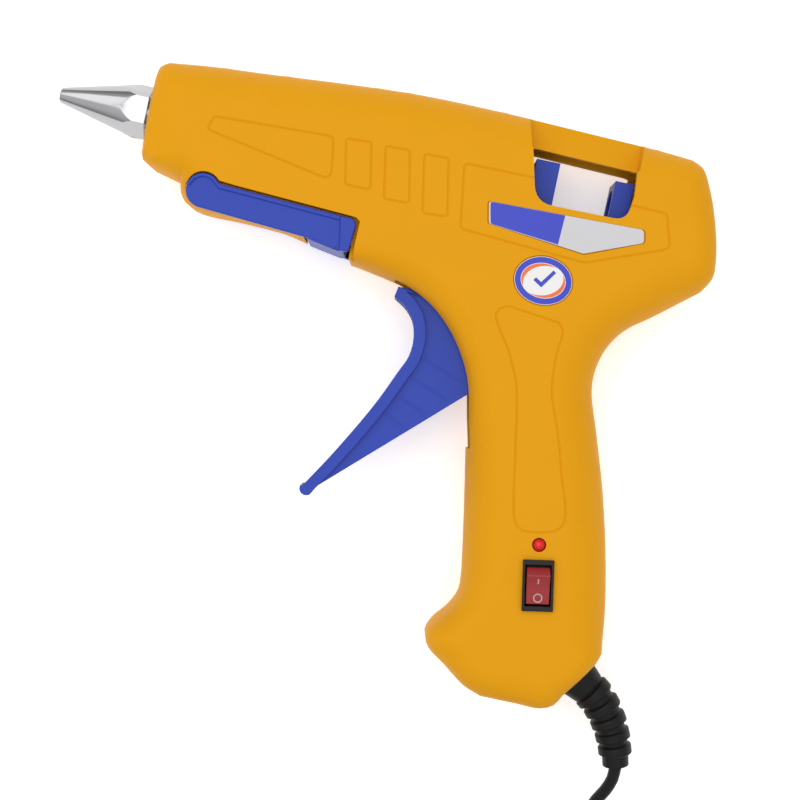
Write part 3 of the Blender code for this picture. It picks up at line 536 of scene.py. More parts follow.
tail = smooth(RELIEF_PATH, 0.3)
root = [Vector(tail[0]) + INTO_BUTT * r for r in (-INSIDE, -2.75, -2.7, -0.02)]
relief = smoothed(make("relief_sleeve", swept([*root, *tail], sleeve_radius), "housing", "black_rubber",
                       ("strain_relief",)), 50)
tell(relief)

# %% [markdown]
# The strap is a flat band round one side of the coil: a block with a slightly smaller block cut out of it.

# %% Strap round the coil
STRAP = Vector((COIL[0] + 23.2, COIL[1]))
STRAP_HALF = (11.1, 3.0)
STRAP_HEIGHTS = (0.15, 10.25)
STRAP_GAUGE = 0.7


def block(middle, half_x, half_y):
    x, y = middle
    return [(x + half_x * i, y + half_y * j) for i, j in ((-1, -1), (1, -1), (1, 1), (-1, 1))]


strap = make("coil_strap", prism([(block(STRAP, *STRAP_HALF), *STRAP_HEIGHTS)]), "housing", "black_plastic",
             ("cord_tie",))
gap = block(STRAP, STRAP_HALF[0] - STRAP_GAUGE, STRAP_HALF[1] + 1.0)
boolean(strap, cutter("strap_gap", prism([(gap, STRAP_HEIGHTS[0] + 0.6, STRAP_HEIGHTS[1] - 0.6)])))
bevelled(strap, 0.25, 2)
drop(baked(strap))
tell(strap)

# %% [markdown]
# The plug is moulded in one with the lead: a flat-sided body that widens to its face, with three finger
# grooves on each side and two round prongs, whose ends are rounded so that they find their holes.

# %% Plug
PLUG = Vector((-25.5, -168.0, 7.1))
PLUG_FACE = -15.5
PLUG_HEIGHTS = (0.3, 13.9)
HALF_PLUG = [(4.6, 20.5), (5.6, 17.5), (7.4, 12.5), (9.0, 9.0), (11.0, 6.2), (13.4, 4.0), (15.2, 0.5),
             (17.2, -8.0), (17.2, -14.0), (15.5, PLUG_FACE)]
PRONG = [(0.0, 19.0), (0.7, 18.95), (1.3, 18.6), (1.75, 18.0), (2.0, 17.2), (2.0, 0.3), (0.0, 0.3)]
outline = [(PLUG.x + x, PLUG.y + y) for x, y in [*HALF_PLUG, *((-x, y) for x, y in reversed(HALF_PLUG))]]
body = make("plug_moulding", prism([(outline, *PLUG_HEIGHTS)]), "housing", "black_plastic", ("plug_body",))
for i, y in enumerate((-1.3, 1.9, 5.1)):
    groove = block((PLUG.x, PLUG.y + y), 9.0, 0.7)
    for side, low, high in (("top", 13.2, 15.0), ("under", -1.0, 1.0)):
        boolean(body, cutter(f"grip_groove_{i}_{side}", prism([(groove, low, high)])))
bevelled(body, 0.9, 4)
drop(baked(body))
pins = []
for i, x in ((1, -9.5), (2, 9.5)):
    turn = spot_at(PLUG.x + x, PLUG.y + PLUG_FACE, PLUG.z) @ Matrix.Rotation(math.pi / 2, 4, "X")
    pin = make(f"plug_prong_{i}", lathe(PRONG, 40), "housing", "nickel", (f"plug_pin_{i}",), turn)
    pins.append(smoothed(pin))
tell(body, *pins)

# %% [markdown]
# ## The yellow shells
# Each shell is one injection moulding: nearly flat on its face, rounded down to the seam by an amount that
# changes round the outline. A height field gives that directly. Points are laid over the side view, closer
# together where the edge turns, and each is lifted to the height of the surface there. Steps, recesses and
# the fine engraved lines are more lines of points, so they are as sharp as on the moulding.

# %% The housing's outline
# Each stretch is the radius of its rounded edge and the points that its smooth curve goes through.
HOUSING = (
    (5.0, ((-73.2, 69.4), (-69.1, 92.3))),
    (9.0, ((-69.1, 92.3), (-68.0, 95.4), (-65.3, 96.8))),
    (13.0, ((-65.3, 96.8), (-55.0, 96.2), (-35.0, 93.6), (-12.0, 90.7), (10.0, 87.4), (35.0, 82.1),
            (60.0, 76.0), (82.0, 70.5), (90.8, 67.6))),
    (8.0, ((90.8, 67.6), (93.8, 65.1), (95.7, 59.0), (97.3, 48.6), (97.6, 38.2), (96.7, 32.2),
           (93.3, 28.1))),
    (13.0, ((93.3, 28.1), (80.0, 21.2), (70.4, 16.4), (65.0, 10.9), (61.9, 4.4), (61.0, -1.5),
            (62.5, -15.0), (64.3, -32.0), (65.2, -52.0), (64.9, -68.0), (63.5, -79.7))),
    (6.0, ((63.5, -79.7), (61.7, -82.4))),
    (4.0, ((61.7, -82.4), (51.8, -91.8))),
    (9.0, ((51.8, -91.8), (49.2, -94.9), (45.25, -96.0), (37.8, -94.5), (27.35, -92.3))),
    (9.0, ((27.35, -92.3), (22.4, -89.2), (16.4, -82.7), (11.95, -77.9), (10.9, -74.4), (12.9, -70.8),
           (18.3, -66.2), (21.3, -61.8), (22.2, -55.9))),
    (13.0, ((22.2, -55.9), (22.85, -38.6), (23.6, -12.1))),
    (9.0, ((23.6, -12.1), (23.7, 0.0), (22.1, 7.7), (18.3, 16.6), (12.5, 24.4), (4.9, 30.2),
           (-5.1, 34.8), (-11.7, 37.6))),
    (1.0, ((-11.7, 37.6), (-11.2, 40.8), (-10.2, 42.9))),
    (1.0, ((-10.2, 42.9), (-12.3, 43.7), (-25.1, 48.6))),
    (1.0, ((-25.1, 48.6), (-25.1, 44.1))),
    (9.0, ((-25.1, 44.1), (-31.8, 46.8), (-45.1, 50.2), (-57.0, 52.9), (-60.5, 54.9), (-61.9, 58.0),
           (-62.0, 61.5))),
    (9.0, ((-62.0, 61.5), (-71.4, 66.1))),
    (7.0, ((-71.4, 66.1), (-72.9, 67.3), (-73.2, 69.4))),
)
SHARP = 2.0
BLEND_REACH = 6.0


def housing_loop(step):
    """The outline's points, and the radius of the rounded edge at each."""
    points, rounds = [], []
    for edge, stretch in HOUSING:
        run = smooth(stretch, step)[:-1]
        points.extend(run)
        rounds.extend([edge] * len(run))
    return np.array(points), np.array(rounds, float)


def eased_rounds(loop, rounds):
    """The roundness of each edge point, blended along the outline so that it never jumps."""
    steps = np.linalg.norm(np.roll(loop, -1, axis=0) - loop, axis=1)
    along = np.concatenate([[0.0], np.cumsum(steps)[:-1]])
    gap = np.abs(along[:, None] - along[None, :])
    gap = np.minimum(gap, steps.sum() - gap)
    weight = np.exp(-0.5 * (gap / BLEND_REACH) ** 2) * steps[None, :]
    return np.where(rounds < SHARP, rounds, (weight * rounds[None, :]).sum(1) / weight.sum(1))


print("housing outline, mm:", np.ptp(housing_loop(1.8)[0], axis=0).round(1).tolist())

# %% [markdown]
# How far a point is from the outline decides its height, so a few measures on many points at once are
# needed. NumPy works them out for all points and all stretches of the outline together.

# %% Measures in the side view
def inward(loop):
    ahead = np.roll(loop, -1, axis=0) - loop
    ahead /= np.linalg.norm(ahead, axis=1)[:, None]
    mean = ahead + np.roll(ahead, 1, axis=0)
    mean /= np.maximum(np.linalg.norm(mean, axis=1), 1e-6)[:, None]
    return np.stack([mean[:, 1], -mean[:, 0]], axis=1)


def gaps_to(spots, line, closed=True):
    """Each spot's distance to every stretch of a line, and how far along the stretch it is nearest."""
    start = line if closed else line[:-1]
    run = (np.roll(line, -1, axis=0) if closed else line[1:]) - start
    reach = spots[:, None, :] - start[None, :, :]
    share = np.clip((reach * run).sum(2) / np.maximum((run * run).sum(1), 1e-9), 0.0, 1.0)
    return np.linalg.norm(reach - share[:, :, None] * run, axis=2), share


def nearest(spots, line, closed=True):
    return gaps_to(spots, np.array(line, float), closed)[0].min(axis=1)


def within(spots, outline):
    """Whether each spot is inside an outline."""
    outline = np.array(outline, float)
    found = np.zeros(len(spots), bool)
    for (xa, ya), (xb, yb) in zip(outline, np.roll(outline, -1, axis=0)):
        if ya == yb:
            continue
        crosses = (ya > spots[:, 1]) != (yb > spots[:, 1])
        found ^= crosses & (spots[:, 0] < xa + (spots[:, 1] - ya) * (xb - xa) / (yb - ya))
    return found


def inset_of(spots, outline):
    """How far inside an outline each spot is, below zero outside it."""
    far = nearest(spots, outline)
    return np.where(within(spots, outline), far, -far)


# %% [markdown]
# ## Steps, recesses and engraved lines
# The stand folds into a step, the labels sit in shallow recesses so that they can't be peeled off by a hand,
# and thin engraved lines frame panels on the barrel and the handle. Each is an outline in the side view. A
# step's wall is two lines 0.22 mm apart and an engraved line is three, high, low and high again.

# %% Step and recess outlines
WINDOW = ((42.6, 71.2, 1.2), (73.4, 63.7, 1.5), (72.3, 55.6, 3.0), (69.9, 48.6, 4.5), (43.2, 54.0, 6.5))
LABEL = ((29.6, 54.4, 0.8), (29.6, 47.8, 0.8), (57.3, 38.9, 2.5), (75.1, 42.0, 1.2), (75.1, 45.9, 1.2))
SHOULDER = ((42.1, 84.5), (77.5, 76.0), (73.9, 63.0), (42.3, 70.4))
SHOULDER_HEIGHTS = (2.4, 2.4, 9.6, 9.6)
STICKER = (45.5, 31.0)
STAND_PIVOT = (-54.5, 57.65)
STEP_DEPTH = 3.6
RECESS_DEPTH = 0.6


def stand_step(margin):
    neck = 30 + 8 * margin
    return [(-67.0, 56.0), (-61.2 - margin, 59.6), *arc(STAND_PIVOT, 5.6 + margin, 150, neck, 18),
            (-45.0, 59.05 + margin), (-11.0 + margin, 50.1 + margin), (-9.4 + margin, 49.6 + margin),
            (-8.3 + margin, 48.4 + margin), (-10.0 + margin, 41.0), (-11.5, 30.0), (-67.0, 30.0)]


def on_sticker(x, y):
    """A point of the sticker, which lies tilted with the barrel."""
    return (STICKER[0] + x * math.cos(STICK_TILT) + y * math.sin(STICK_TILT),
            STICKER[1] - x * math.sin(STICK_TILT) + y * math.cos(STICK_TILT))


def oval(margin, pieces=48):
    return [on_sticker((8.55 + margin) * math.cos(a), (7.05 + margin) * math.sin(a))
            for a in np.linspace(0, 2 * math.pi, pieces, endpoint=False)]


# %% Engraved lines
WEDGE = rounded(((-53.2, 75.5, 1.2), (-51.0, 79.3, 1.2), (-16.0, 73.3, 2.0), (-16.7, 60.4, 2.5)))
PANELS = [rounded(c) for c in (
    ((-12.3, 72.7, 0.9), (-4.8, 71.7, 0.9), (-5.2, 57.6, 1.2), (-12.6, 59.3, 1.2)),
    ((-0.7, 70.5, 0.9), (6.4, 69.3, 0.9), (6.2, 53.7, 1.2), (-1.2, 55.0, 1.2)),
    ((10.7, 68.3, 0.9), (17.8, 66.8, 0.9), (17.4, 49.7, 1.2), (10.1, 50.9, 1.2)),
)]
LABEL_PANEL = [(43.6, 61.1), (23.7, 65.2), (22.9, 65.1), (22.4, 64.3), (21.3, 47.6), (21.5, 46.6),
               (22.3, 46.0), (56.2, 36.6), (58.2, 36.3), (81.0, 40.0), (82.2, 40.5), (82.7, 41.6),
               (82.0, 49.6), (81.7, 50.4), (80.8, 50.9), (70.6, 53.3)]
GRIP_PANEL = smooth((
    (35.2, 23.4), (33.0, 22.9), (31.7, 21.3), (32.7, 16.8), (34.9, 11.8), (36.6, 5.9), (37.7, -0.2),
    (37.8, -6.1), (37.5, -15.2), (37.2, -24.0), (36.9, -37.5), (37.5, -40.3), (39.4, -42.3), (48.9, -42.6),
    (51.3, -40.8), (52.1, -37.5), (51.0, -26.4), (50.0, -15.2), (48.7, -7.0), (48.1, -1.7), (48.7, 5.1),
    (49.8, 10.5), (51.1, 14.5), (51.2, 16.8), (50.1, 18.6), (48.4, 19.2), (42.0, 21.3), (36.2, 23.3)), 1.5)
GROOVES = [(WEDGE, True), *((p, True) for p in PANELS), (LABEL_PANEL, False), (GRIP_PANEL, True)]
EDGE_WIDTH = 0.22
LINE_WIDTH = 0.4
LINE_DEPTH = 0.3
print("engraved lines:", len(GROOVES))

# %% [markdown]
# ## The height field
# One function gives the surface's height anywhere in the side view. It starts from the crown, a slab with
# rounded edges, and takes the lower of that and each facet, then sinks the steps, recesses and lines.

# %% Height of the surface
NOSE = np.array((-61.4, 67.0))
NOSE_LEAN = np.array((0.989, 0.147))
NOSE_SLOPE = 0.25
STEPS = [(stand_step(0.0), MID - STEP_DEPTH, True), (rounded(LABEL, 0.5), RECESS_DEPTH, False),
         (oval(0.4), RECESS_DEPTH, False)]
corners = np.array([(x, y, 1.0) for x, y in SHOULDER])
SHOULDER_PLANE = np.linalg.lstsq(corners, np.array(SHOULDER_HEIGHTS), rcond=None)[0]


def steps_on(left):
    """The left shell has the labels' recesses too."""
    return STEPS if left else STEPS[:1]


def crown(spots, loop, rounds, wall=0.0):
    """The height over the seam of a slab with rounded edges, a wall smaller than the outline all round."""
    gaps, share = gaps_to(spots, loop)
    edge = np.maximum(rounds * (1 - share) + np.roll(rounds, -1) * share - wall, 0.4)
    depth = np.clip(gaps - wall, 0.0, edge)
    return (MID - wall - edge + np.sqrt(edge**2 - (edge - depth) ** 2)).min(axis=1)


def surface(spots, loop, rounds, left):
    """The shell's height over the seam at each spot."""
    height = np.minimum(crown(spots, loop, rounds), MID + NOSE_SLOPE * ((spots - NOSE) @ NOSE_LEAN))
    for outline, size, is_floor in steps_on(left):
        lowered = np.minimum(height, size) if is_floor else height - size
        height = height + (lowered - height) * np.clip(inset_of(spots, outline) / EDGE_WIDTH, 0.0, 1.0)
    slab = np.minimum(height, spots @ SHOULDER_PLANE[:2] + SHOULDER_PLANE[2])
    height = height + (slab - height) * np.clip(inset_of(spots, SHOULDER) / EDGE_WIDTH, 0.0, 1.0)
    for line, closed in GROOVES:
        height = height - LINE_DEPTH * np.clip(1 - nearest(spots, line, closed) / LINE_WIDTH, 0.0, 1.0)
    return height


# %% [markdown]
# The points come in three sorts: rings that follow the outline inwards, pairs and threes of lines that
# follow each step and groove, and a staggered grid that fills what is left.

# %% Lines and rings of points
def dense(line, closed, step=1.5):
    """A line with more points, so that it can follow a curved surface."""
    line = [np.array(p, float) for p in line]
    found = []
    ends = line[1:] + line[:1] if closed else line[1:]
    for a, b in zip(line, ends):
        pieces = max(1, math.ceil(float(np.linalg.norm(b - a)) / step))
        found += [a + (b - a) * i / pieces for i in range(pieces)]
    if not closed:
        found.append(line[-1])
    return np.array(found)


def offset_line(line, closed, by):
    if closed:
        return line + inward(line) * by
    ahead = np.diff(line, axis=0)
    ahead = ahead / np.linalg.norm(ahead, axis=1)[:, None]
    mean = np.concatenate([ahead[:1], ahead[1:] + ahead[:-1], ahead[-1:]])
    mean /= np.linalg.norm(mean, axis=1)[:, None]
    return line + np.stack([mean[:, 1], -mean[:, 0]], axis=1) * by


def wall_lines(outline):
    """The foot and the top of a step's wall: the outline, and a line just inside it."""
    base = dense(outline, True)
    tried = offset_line(base, True, 0.05)[1:4]
    way = 1.0 if inset_of(tried, outline).mean() > 0 else -1.0
    return [(base, True), (offset_line(base, True, way * EDGE_WIDTH), True)]


def groove_lines(line, closed):
    base = dense(line, closed)
    return [(base, closed), *((offset_line(base, closed, by), closed) for by in (-LINE_WIDTH, LINE_WIDTH))]


def ring_at(loop, depth, clear=0.97):
    """The outline pulled in by a depth, without the points that come near another stretch of it."""
    ring = loop + inward(loop) * np.broadcast_to(depth, len(loop))[:, None]
    return ring[nearest(ring, loop) > clear * depth]


def staggered_grid(loop, pitch=2.6, margin=1.2):
    low, high = loop.min(axis=0), loop.max(axis=0)
    xs, ys = np.meshgrid(np.arange(low[0], high[0], pitch), np.arange(low[1], high[1], pitch))
    grid = np.stack([xs.ravel(), ys.ravel()], axis=1)
    grid[:, 0] += pitch / 2 * (np.round((grid[:, 1] - low[1]) / pitch) % 2)
    grid = grid[within(grid, loop)]
    return grid[nearest(grid, loop) > margin]


# %% [markdown]
# A constrained triangulation joins the points and keeps every line as edges. A filling point is left out
# where it would crowd a line, which would give thin triangles. Then the flat mesh is lifted and closed.

# %% Lifted shells
CELL = 0.35
RING_SHARES = (0.03, 0.1, 0.2, 0.34, 0.52, 0.74, 1.0)


def cell_of(point):
    return round(point[0] / CELL), round(point[1] / CELL)


def lay_out(loop, lines, fill):
    """All the points, and the edges that the triangulation must keep."""
    spots = [tuple(p) for p in loop]
    taken = {cell_of(p) for p in spots}
    edges = []
    for line, closed in lines:
        numbers = []
        for point, kept in zip(line, within(line, loop) & (nearest(line, loop) > 0.25)):
            numbers.append(len(spots) if kept else None)
            if kept:
                spots.append(tuple(point))
                taken.add(cell_of(point))
        ends = numbers[1:] + numbers[:1] if closed else numbers[1:]
        edges += [(a, b) for a, b in zip(numbers, ends) if a is not None and b is not None]
    for point in fill:
        x, y = cell_of(point)
        if not any((x + i, y + j) in taken for i in (-1, 0, 1) for j in (-1, 0, 1)):
            taken.add((x, y))
            spots.append(tuple(point))
    return spots, edges


def lifted(name, spots, edges, rim, side, base, height_of):
    """The points inside their rim, triangulated, lifted to one side of the seam and closed flat at a base."""
    verts, _, faces, *_ = delaunay_2d_cdt([Vector(p) for p in spots], edges, [list(range(rim))], 1, 0.0001)
    flat = np.array([tuple(p) for p in verts])
    bm = bmesh.new()
    top = [bm.verts.new((x, y, MID + side * h)) for (x, y), h in zip(flat, height_of(flat))]
    for face in faces:
        bm.faces.new([top[i] for i in face])
    raised(bm, bm.faces[:], MID + side * base)
    return mesh_from(bm, name)


def fine_half(name, side, left):
    """One half of the housing, solid."""
    loop, sizes = housing_loop(1.8)
    rounds = eased_rounds(loop, sizes)
    fill = [*(ring_at(loop, rounds * share) for share in RING_SHARES), staggered_grid(loop)]
    lines = [pair for outline, _, _ in steps_on(left) for pair in wall_lines(outline)] + wall_lines(SHOULDER)
    lines += [found for line, closed in GROOVES for found in groove_lines(line, closed)]
    spots, edges = lay_out(loop, lines, np.concatenate(fill))
    return lifted(name, spots, edges, len(loop), side, SEAM,
                  lambda flat: np.maximum(surface(flat, loop, rounds, left), SEAM + 0.3))


# %% [markdown]
# ## Openings and the space inside
# A real shell is a 2.4 mm wall. The space inside is a smaller copy of the same rounded shape, cut away with a
# Boolean, and then the window, the trigger's slot, the nozzle's mouth, the stick's inlet and the switch and
# lamp holes are cut through the wall.

# %% The space inside
def coarse_space(name, side):
    """The space inside one half, which reaches 1 mm past the seam so that its cut is clean."""
    loop, rounds = housing_loop(4.5)
    spots = [tuple(p) for p in ring_at(loop, WALL, 0.96)]
    rim = len(spots)
    for share in (0.12, 0.4, 1.0):
        for point in ring_at(loop, np.maximum(rounds - WALL, 0.4) * share + WALL):
            if min(math.dist(point, other) for other in spots) > 1.0:
                spots.append(tuple(point))
    mesh = lifted(name, spots, [], rim, side, -1.0, lambda flat: crown(flat, loop, rounds, WALL))
    return cutter(name, mesh)


def both_sides(outline, low, high):
    return [(outline, MID + low, MID + high), (outline, MID - high, MID - low)]


def shoulder_block(sink, grown_by):
    """What is above both sloping shoulders, sunk by a wall's thickness, which the inner space must leave."""
    bm = bmesh.new()
    middle = sum(x for x, y in SHOULDER) / len(SHOULDER)
    for side in (1.0, -1.0):
        corners = []
        for (x, y), h in zip(SHOULDER, SHOULDER_HEIGHTS):
            low = max(h - sink, 0.3)
            corners.append(bm.verts.new((x + math.copysign(grown_by, x - middle), y, MID + side * low)))
        raised(bm, [bm.faces.new(corners)], MID + side * (MID + 1.0))
    return mesh_from(bm, "shoulder_block")


def rectangle(centre, size, turn):
    across = Vector((math.cos(turn), math.sin(turn))) * size[0] / 2
    along = Vector((-math.sin(turn), math.cos(turn))) * size[1] / 2
    middle = Vector(centre[:2])
    return [tuple(middle + across * i + along * j) for i, j in ((-1, -1), (1, -1), (1, 1), (-1, 1))]


def bar_cutter(name, radius, low, high, at, sides=64):
    return cutter(name, lathe([(0.0, low), (radius, low), (radius, high), (0.0, high)], sides), at)


# %% [markdown]
# The inner space is itself cut first, where the screw bosses, the step's floor and the shoulder need
# plastic behind them. What is left of it is then cut out of the shell, with the openings.

# %% What is cut
SWITCH = (43.9, -58.5, THICK)
SWITCH_TURN = math.radians(-1.8)
LAMP = (44.3, -46.6, THICK)
BUTT = spot_at(56.3, -87.2, MID, math.radians(-45.6)) @ Matrix.Rotation(math.pi / 2, 4, "Y")
SHELL_SCREWS = ((-52.5, 91.2), (8.0, 81.6), (84.0, 60.2), (83.0, 28.9), (52.5, 1.0), (20.2, -79.5),
                (57.4, -59.0))
SLOT = [(0.5, 25.0), (0.5, 31.0), (5.0, 33.6), (11.0, 36.6), (22.0, 36.6), (30.0, 20.0), (30.0, -18.5),
        (5.0, -18.5)]
THROUGH = (-1.0, THICK + 1.0)


def at_screws(radius, sides, low, high):
    last = 360.0 - 360.0 / sides
    return prism([(arc(p, radius, 0, last, sides - 1), low, high) for p in SHELL_SCREWS])


kept_plastic = [
    cutter("bosses", at_screws(4.2, 12, *THROUGH)),
    cutter("step_floor", prism(both_sides(stand_step(2.0), MID - STEP_DEPTH - 2.2, MID + 1.0))),
    cutter("shoulder_wall", shoulder_block(WALL * 1.15, WALL)),
]
openings = [
    cutter("window", prism([(rounded(WINDOW), -2.0, THICK + 2.0)])),
    cutter("slot", prism([(SLOT, MID - 9.4, MID + 9.4)])),
    bar_cutter("mouth", 8.9, -12.0, 12.0, along_stick(22.0)),
    bar_cutter("inlet", 6.2, -12.0, 14.0, along_stick(198.0)),
    bar_cutter("gland", 5.2, -7.0, 5.0, BUTT),
    bar_cutter("studs", 2.7, *THROUGH, spot_at(*STAND_PIVOT, 0.0)),
]
left_only = [
    cutter("switch_hole", prism([(rectangle(SWITCH, (8.6, 14.0), SWITCH_TURN), THICK - 6.0, THICK + 2.0)])),
    bar_cutter("lamp_hole", 2.1, THICK - 6.0, THICK + 2.0, spot_at(LAMP[0], LAMP[1], 0.0)),
]
right_only = [
    cutter("shanks", at_screws(1.8, 12, 1.0, MID + 1.0)),
    cutter("heads", at_screws(3.4, 36, -1.0, 8.0)),
]
print("openings:", [item.name for item in (*openings, *left_only, *right_only)])

# %% Cut the shells
spaces = []
for name, node, side, extra in (("left_moulding", "left_shell", 1.0, left_only),
                                ("right_moulding", "right_shell", -1.0, right_only)):
    space = coarse_space(name + "_space", side)
    for other in kept_plastic:
        boolean(space, other)
    shell = make(name, fine_half(name, side, side > 0), "housing", "yellow_plastic", (node,))
    for other in (space, *openings, *extra):
        boolean(shell, other)
    baked(shell)
    smoothed(shell, 28)
    spaces.append(space)
    tell(shell)
drop([*spaces, *kept_plastic, *openings, *left_only, *right_only])

# %% [markdown]
# ## Shell screws
# Seven self-tapping screws hold the shells from the right side. Each has a domed head with a cross recess.
# The cross is drawn as one outline: a cutter of two overlapping bars would cut everything away.

# %% Screws
SCREW = [(0.0, 5.3), (1.4, 5.35), (2.3, 5.6), (2.8, 6.1), (2.9, 6.6), (2.9, 7.6), (1.4, 7.6), (1.4, 25.0),
         (0.0, 26.0)]


def cross(size, low, high):
    arm = size * 0.28
    outline = []
    for c, s in ((1, 0), (0, 1), (-1, 0), (0, -1)):
        outline += [(c * x - s * y, s * x + c * y) for x, y in ((size, -arm), (size, arm), (arm, arm))]
    return prism([(outline, low, high)])


for i, (x, y) in enumerate(SHELL_SCREWS, 1):
    at = spot_at(x, y, 0.0, 0.4 * i)
    screw = make(f"screw_{i}", lathe(SCREW, 32), "housing", "steel", (f"shell_screw_{i}",), at)
    boolean(screw, cutter(f"recess_{i}", cross(1.5, 5.0, 6.6), at))
    drop(baked(screw))
    smoothed(screw, 35)
    tell(screw)

# %% [markdown]
# ## Nozzle
# The nozzle is turned from aluminium bar: a long cone to the orifice and a hexagon for the spanner. Where a
# cone meets a hexagon the edge is scalloped, which is what an intersection of the two gives.

# %% Nozzle
NOZZLE = [(4.8, 37.6), (4.8, 27.4), (8.6, 27.4), (8.6, 25.6), (2.45, 0.7), (2.3, 0.3), (1.95, 0.0),
          (0.9, 0.0), (0.9, 4.0), (2.9, 9.0), (2.9, 37.6)]
ACROSS_FLATS = 14.0
tip = make("nozzle_turned", lathe(NOZZLE, 96), "housing", "nozzle_metal", ("nozzle",), along_stick(0.0))
flats = prism([(arc((0, 0), ACROSS_FLATS / math.sqrt(3.0), 30, 330, 5), -2.0, 40.0)])
boolean(tip, cutter("flats", flats, along_stick(0.0)), "INTERSECT")
drop(baked(tip))
bevelled(tip, 0.18, 2, 25)
tell(tip)

# %% [markdown]
# ## Trigger
# The trigger is one blue moulding: a wide flange that the fingers press, and behind it a thinner web that
# slides into the handle, stiffened by faint ribs. Its lever reaches up to push the carriage. The blocks
# overlap and each keeps its own bevelled edges, which come out cleaner than those of a joined shape.

# %% Trigger
PIVOT = Vector((13.65, 30.75))
TRIGGER_FRONT = ((1.8, 26.9), (5.2, 23.6), (7.2, 19.8), (7.6, 15.0), (6.1, 9.1), (2.8, 4.3), (-4.1, -5.3),
                 (-16.4, -19.7), (-25.6, -29.4))
FLANGE = 3.4
TRIGGER_ARM = 21.7
TRIGGER_SWING = math.radians(26.0)
LEVER_R = 3.2
RIBS_ON_WEB = (((11.0, 8.0), (22.0, 0.9)), ((6.9, 2.6), (17.0, -3.7)), ((3.2, -3.3), (10.3, -7.7)),
               ((-1.0, -8.2), (4.2, -11.9)))


def through_middle(outline, half):
    return (outline, MID - half, MID + half)


def rib(a, b):
    run = (Vector(b) - Vector(a)).normalized()
    wide = Vector((-run.y, run.x)) * 0.25
    return [tuple(Vector(p) + wide * way) for p, way in ((a, 1), (a, -1), (b, -1), (b, 1))]


front = smooth(TRIGGER_FRONT, 1.6)
toe = arc((-24.5, -30.4), 2.1, 150, 300, 12)
web = [(3.0, 29.8), *front, *toe, (-21.6, -29.9), (22.95, -2.85), (27.2, -0.2), (25.0, 12.0), (18.6, 28.0)]
inner = [tuple(np.array(p) - n * FLANGE) for p, n in zip(front, inward(np.array(front)))][1:-1]
flange = [(3.0, 29.8), *front, *toe, (-21.9, -30.2), *reversed(inner), (9.6, 27.0)]
angle = math.pi / 2 - STICK_TILT - TRIGGER_SWING / 2
drive = PIVOT + Vector((math.cos(angle), math.sin(angle))) * TRIGGER_ARM
across = Vector((-math.sin(angle), math.cos(angle))) * LEVER_R
lean = math.degrees(angle) + 90.0
lever = [tuple(PIVOT + across), tuple(PIVOT - across), *arc(drive, LEVER_R, lean - 180, lean, 16)]
press = make("trigger_moulding", prism([
    through_middle(web, 7.0), through_middle(flange, 9.0), through_middle(arc(PIVOT, 5.0, 0, 350, 35), 7.3),
    through_middle(lever, 3.5), *(through_middle(rib(*ends), 7.22) for ends in RIBS_ON_WEB)]),
    "trigger", "blue_plastic", ("trigger",))
bevelled(press, 0.7, 4, 40)
tell(press)

# %% [markdown]
# ## Carriage
# Through the window the two blue uprights of the carriage show, each bored for the glue stick. The same
# moulding runs on rails inside the shells and has a fork that the trigger's pin pushes.

# %% Carriage
BORE_R = 6.3
PIN_WAY_R = 1.9
from_tip = drive - TIP.xy
s_pin = from_tip.dot(BACK.xy)
v_pin = from_tip.dot(UP.xy)


def stick_box(s0, s1, v0, v1):
    return stick_outline([(s0, v0), (s1, v0), (s1, v1), (s0, v1)])


sled = make("carriage_moulding", prism([
    through_middle(stick_box(134, 175, -9.7, -7.3), 13.0),
    through_middle(stick_box(144.6, 151.8, -8.5, 9.9), 9.0),
    through_middle(stick_box(169.0, 174.7, -8.5, 8.3), 9.0),
    *both_sides(stick_box(s_pin - 4.6, 137, -15.7, -8.0), 4.0, 8.2)]),
    "carriage", "blue_plastic", ("carriage",))
way = [*arc((s_pin, v_pin + 0.75), PIN_WAY_R, 0, 180, 12),
       *arc((s_pin, v_pin - 0.3), PIN_WAY_R, 180, 360, 12)]
boolean(sled, cutter("fork_slot", prism([(stick_outline(way), 0.0, THICK)])), overlapping=True)
boolean(sled, bar_cutter("bore", BORE_R, -30.0, 30.0, along_stick(158.0), 48), overlapping=True)
drop(baked(sled))
bevelled(sled, 0.35, 2, 35)
tell(sled)

# %% [markdown]
# ## Stand
# The folding stand is a blue yoke: an arm on each side with a round eye on a snap-in stud, a raised border
# along the top that stiffens it, and a raised block where the crossbar joins. The arm on the right side is
# a little slimmer, so that it stays behind the barrel.

# %% Stand
EYE_R, INNER_EYE_R = 5.1, 3.9
ARM_LOW = MID - STEP_DEPTH + 0.4
ARM_HIGH = ARM_LOW + 2.4
PROUD = MID - 0.2
eye_top = arc(STAND_PIVOT, EYE_R, 150, 30, 18)
heel = [(-11.6, 49.6), (-10.4, 49.2), (-9.8, 48.6), (-9.5, 47.3), (-11.6, 39.8), (-12.6, 39.5)]
arm = [*arc(STAND_PIVOT, EYE_R, 255, 30, 36), (-49.5, 59.5), *heel, (-23.9, 43.7)]
far_arm = [*arc(STAND_PIVOT, INNER_EYE_R, 255, 150, 12), *eye_top, (-49.5, 59.5), *heel, (-23.9, 43.7),
           (-23.9, 45.2)]
pad = [(-14.2, 50.1), *heel, (-14.5, 40.2)]
rim = [*arc(STAND_PIVOT, EYE_R, 160, 30, 18), (-49.5, 59.5), (-13.9, 50.15), (-14.2, 48.7), (-49.9, 58.1),
       *arc(STAND_PIVOT, INNER_EYE_R, 30, 160, 18)]
bar = [(-23.9, 47.0), (-24.4, 43.7), (-15.0, 39.9), (-13.6, 39.9), (-12.9, 41.2), (-12.7, 42.8)]
stud = arc(STAND_PIVOT, 2.35, 0, 345, 23)
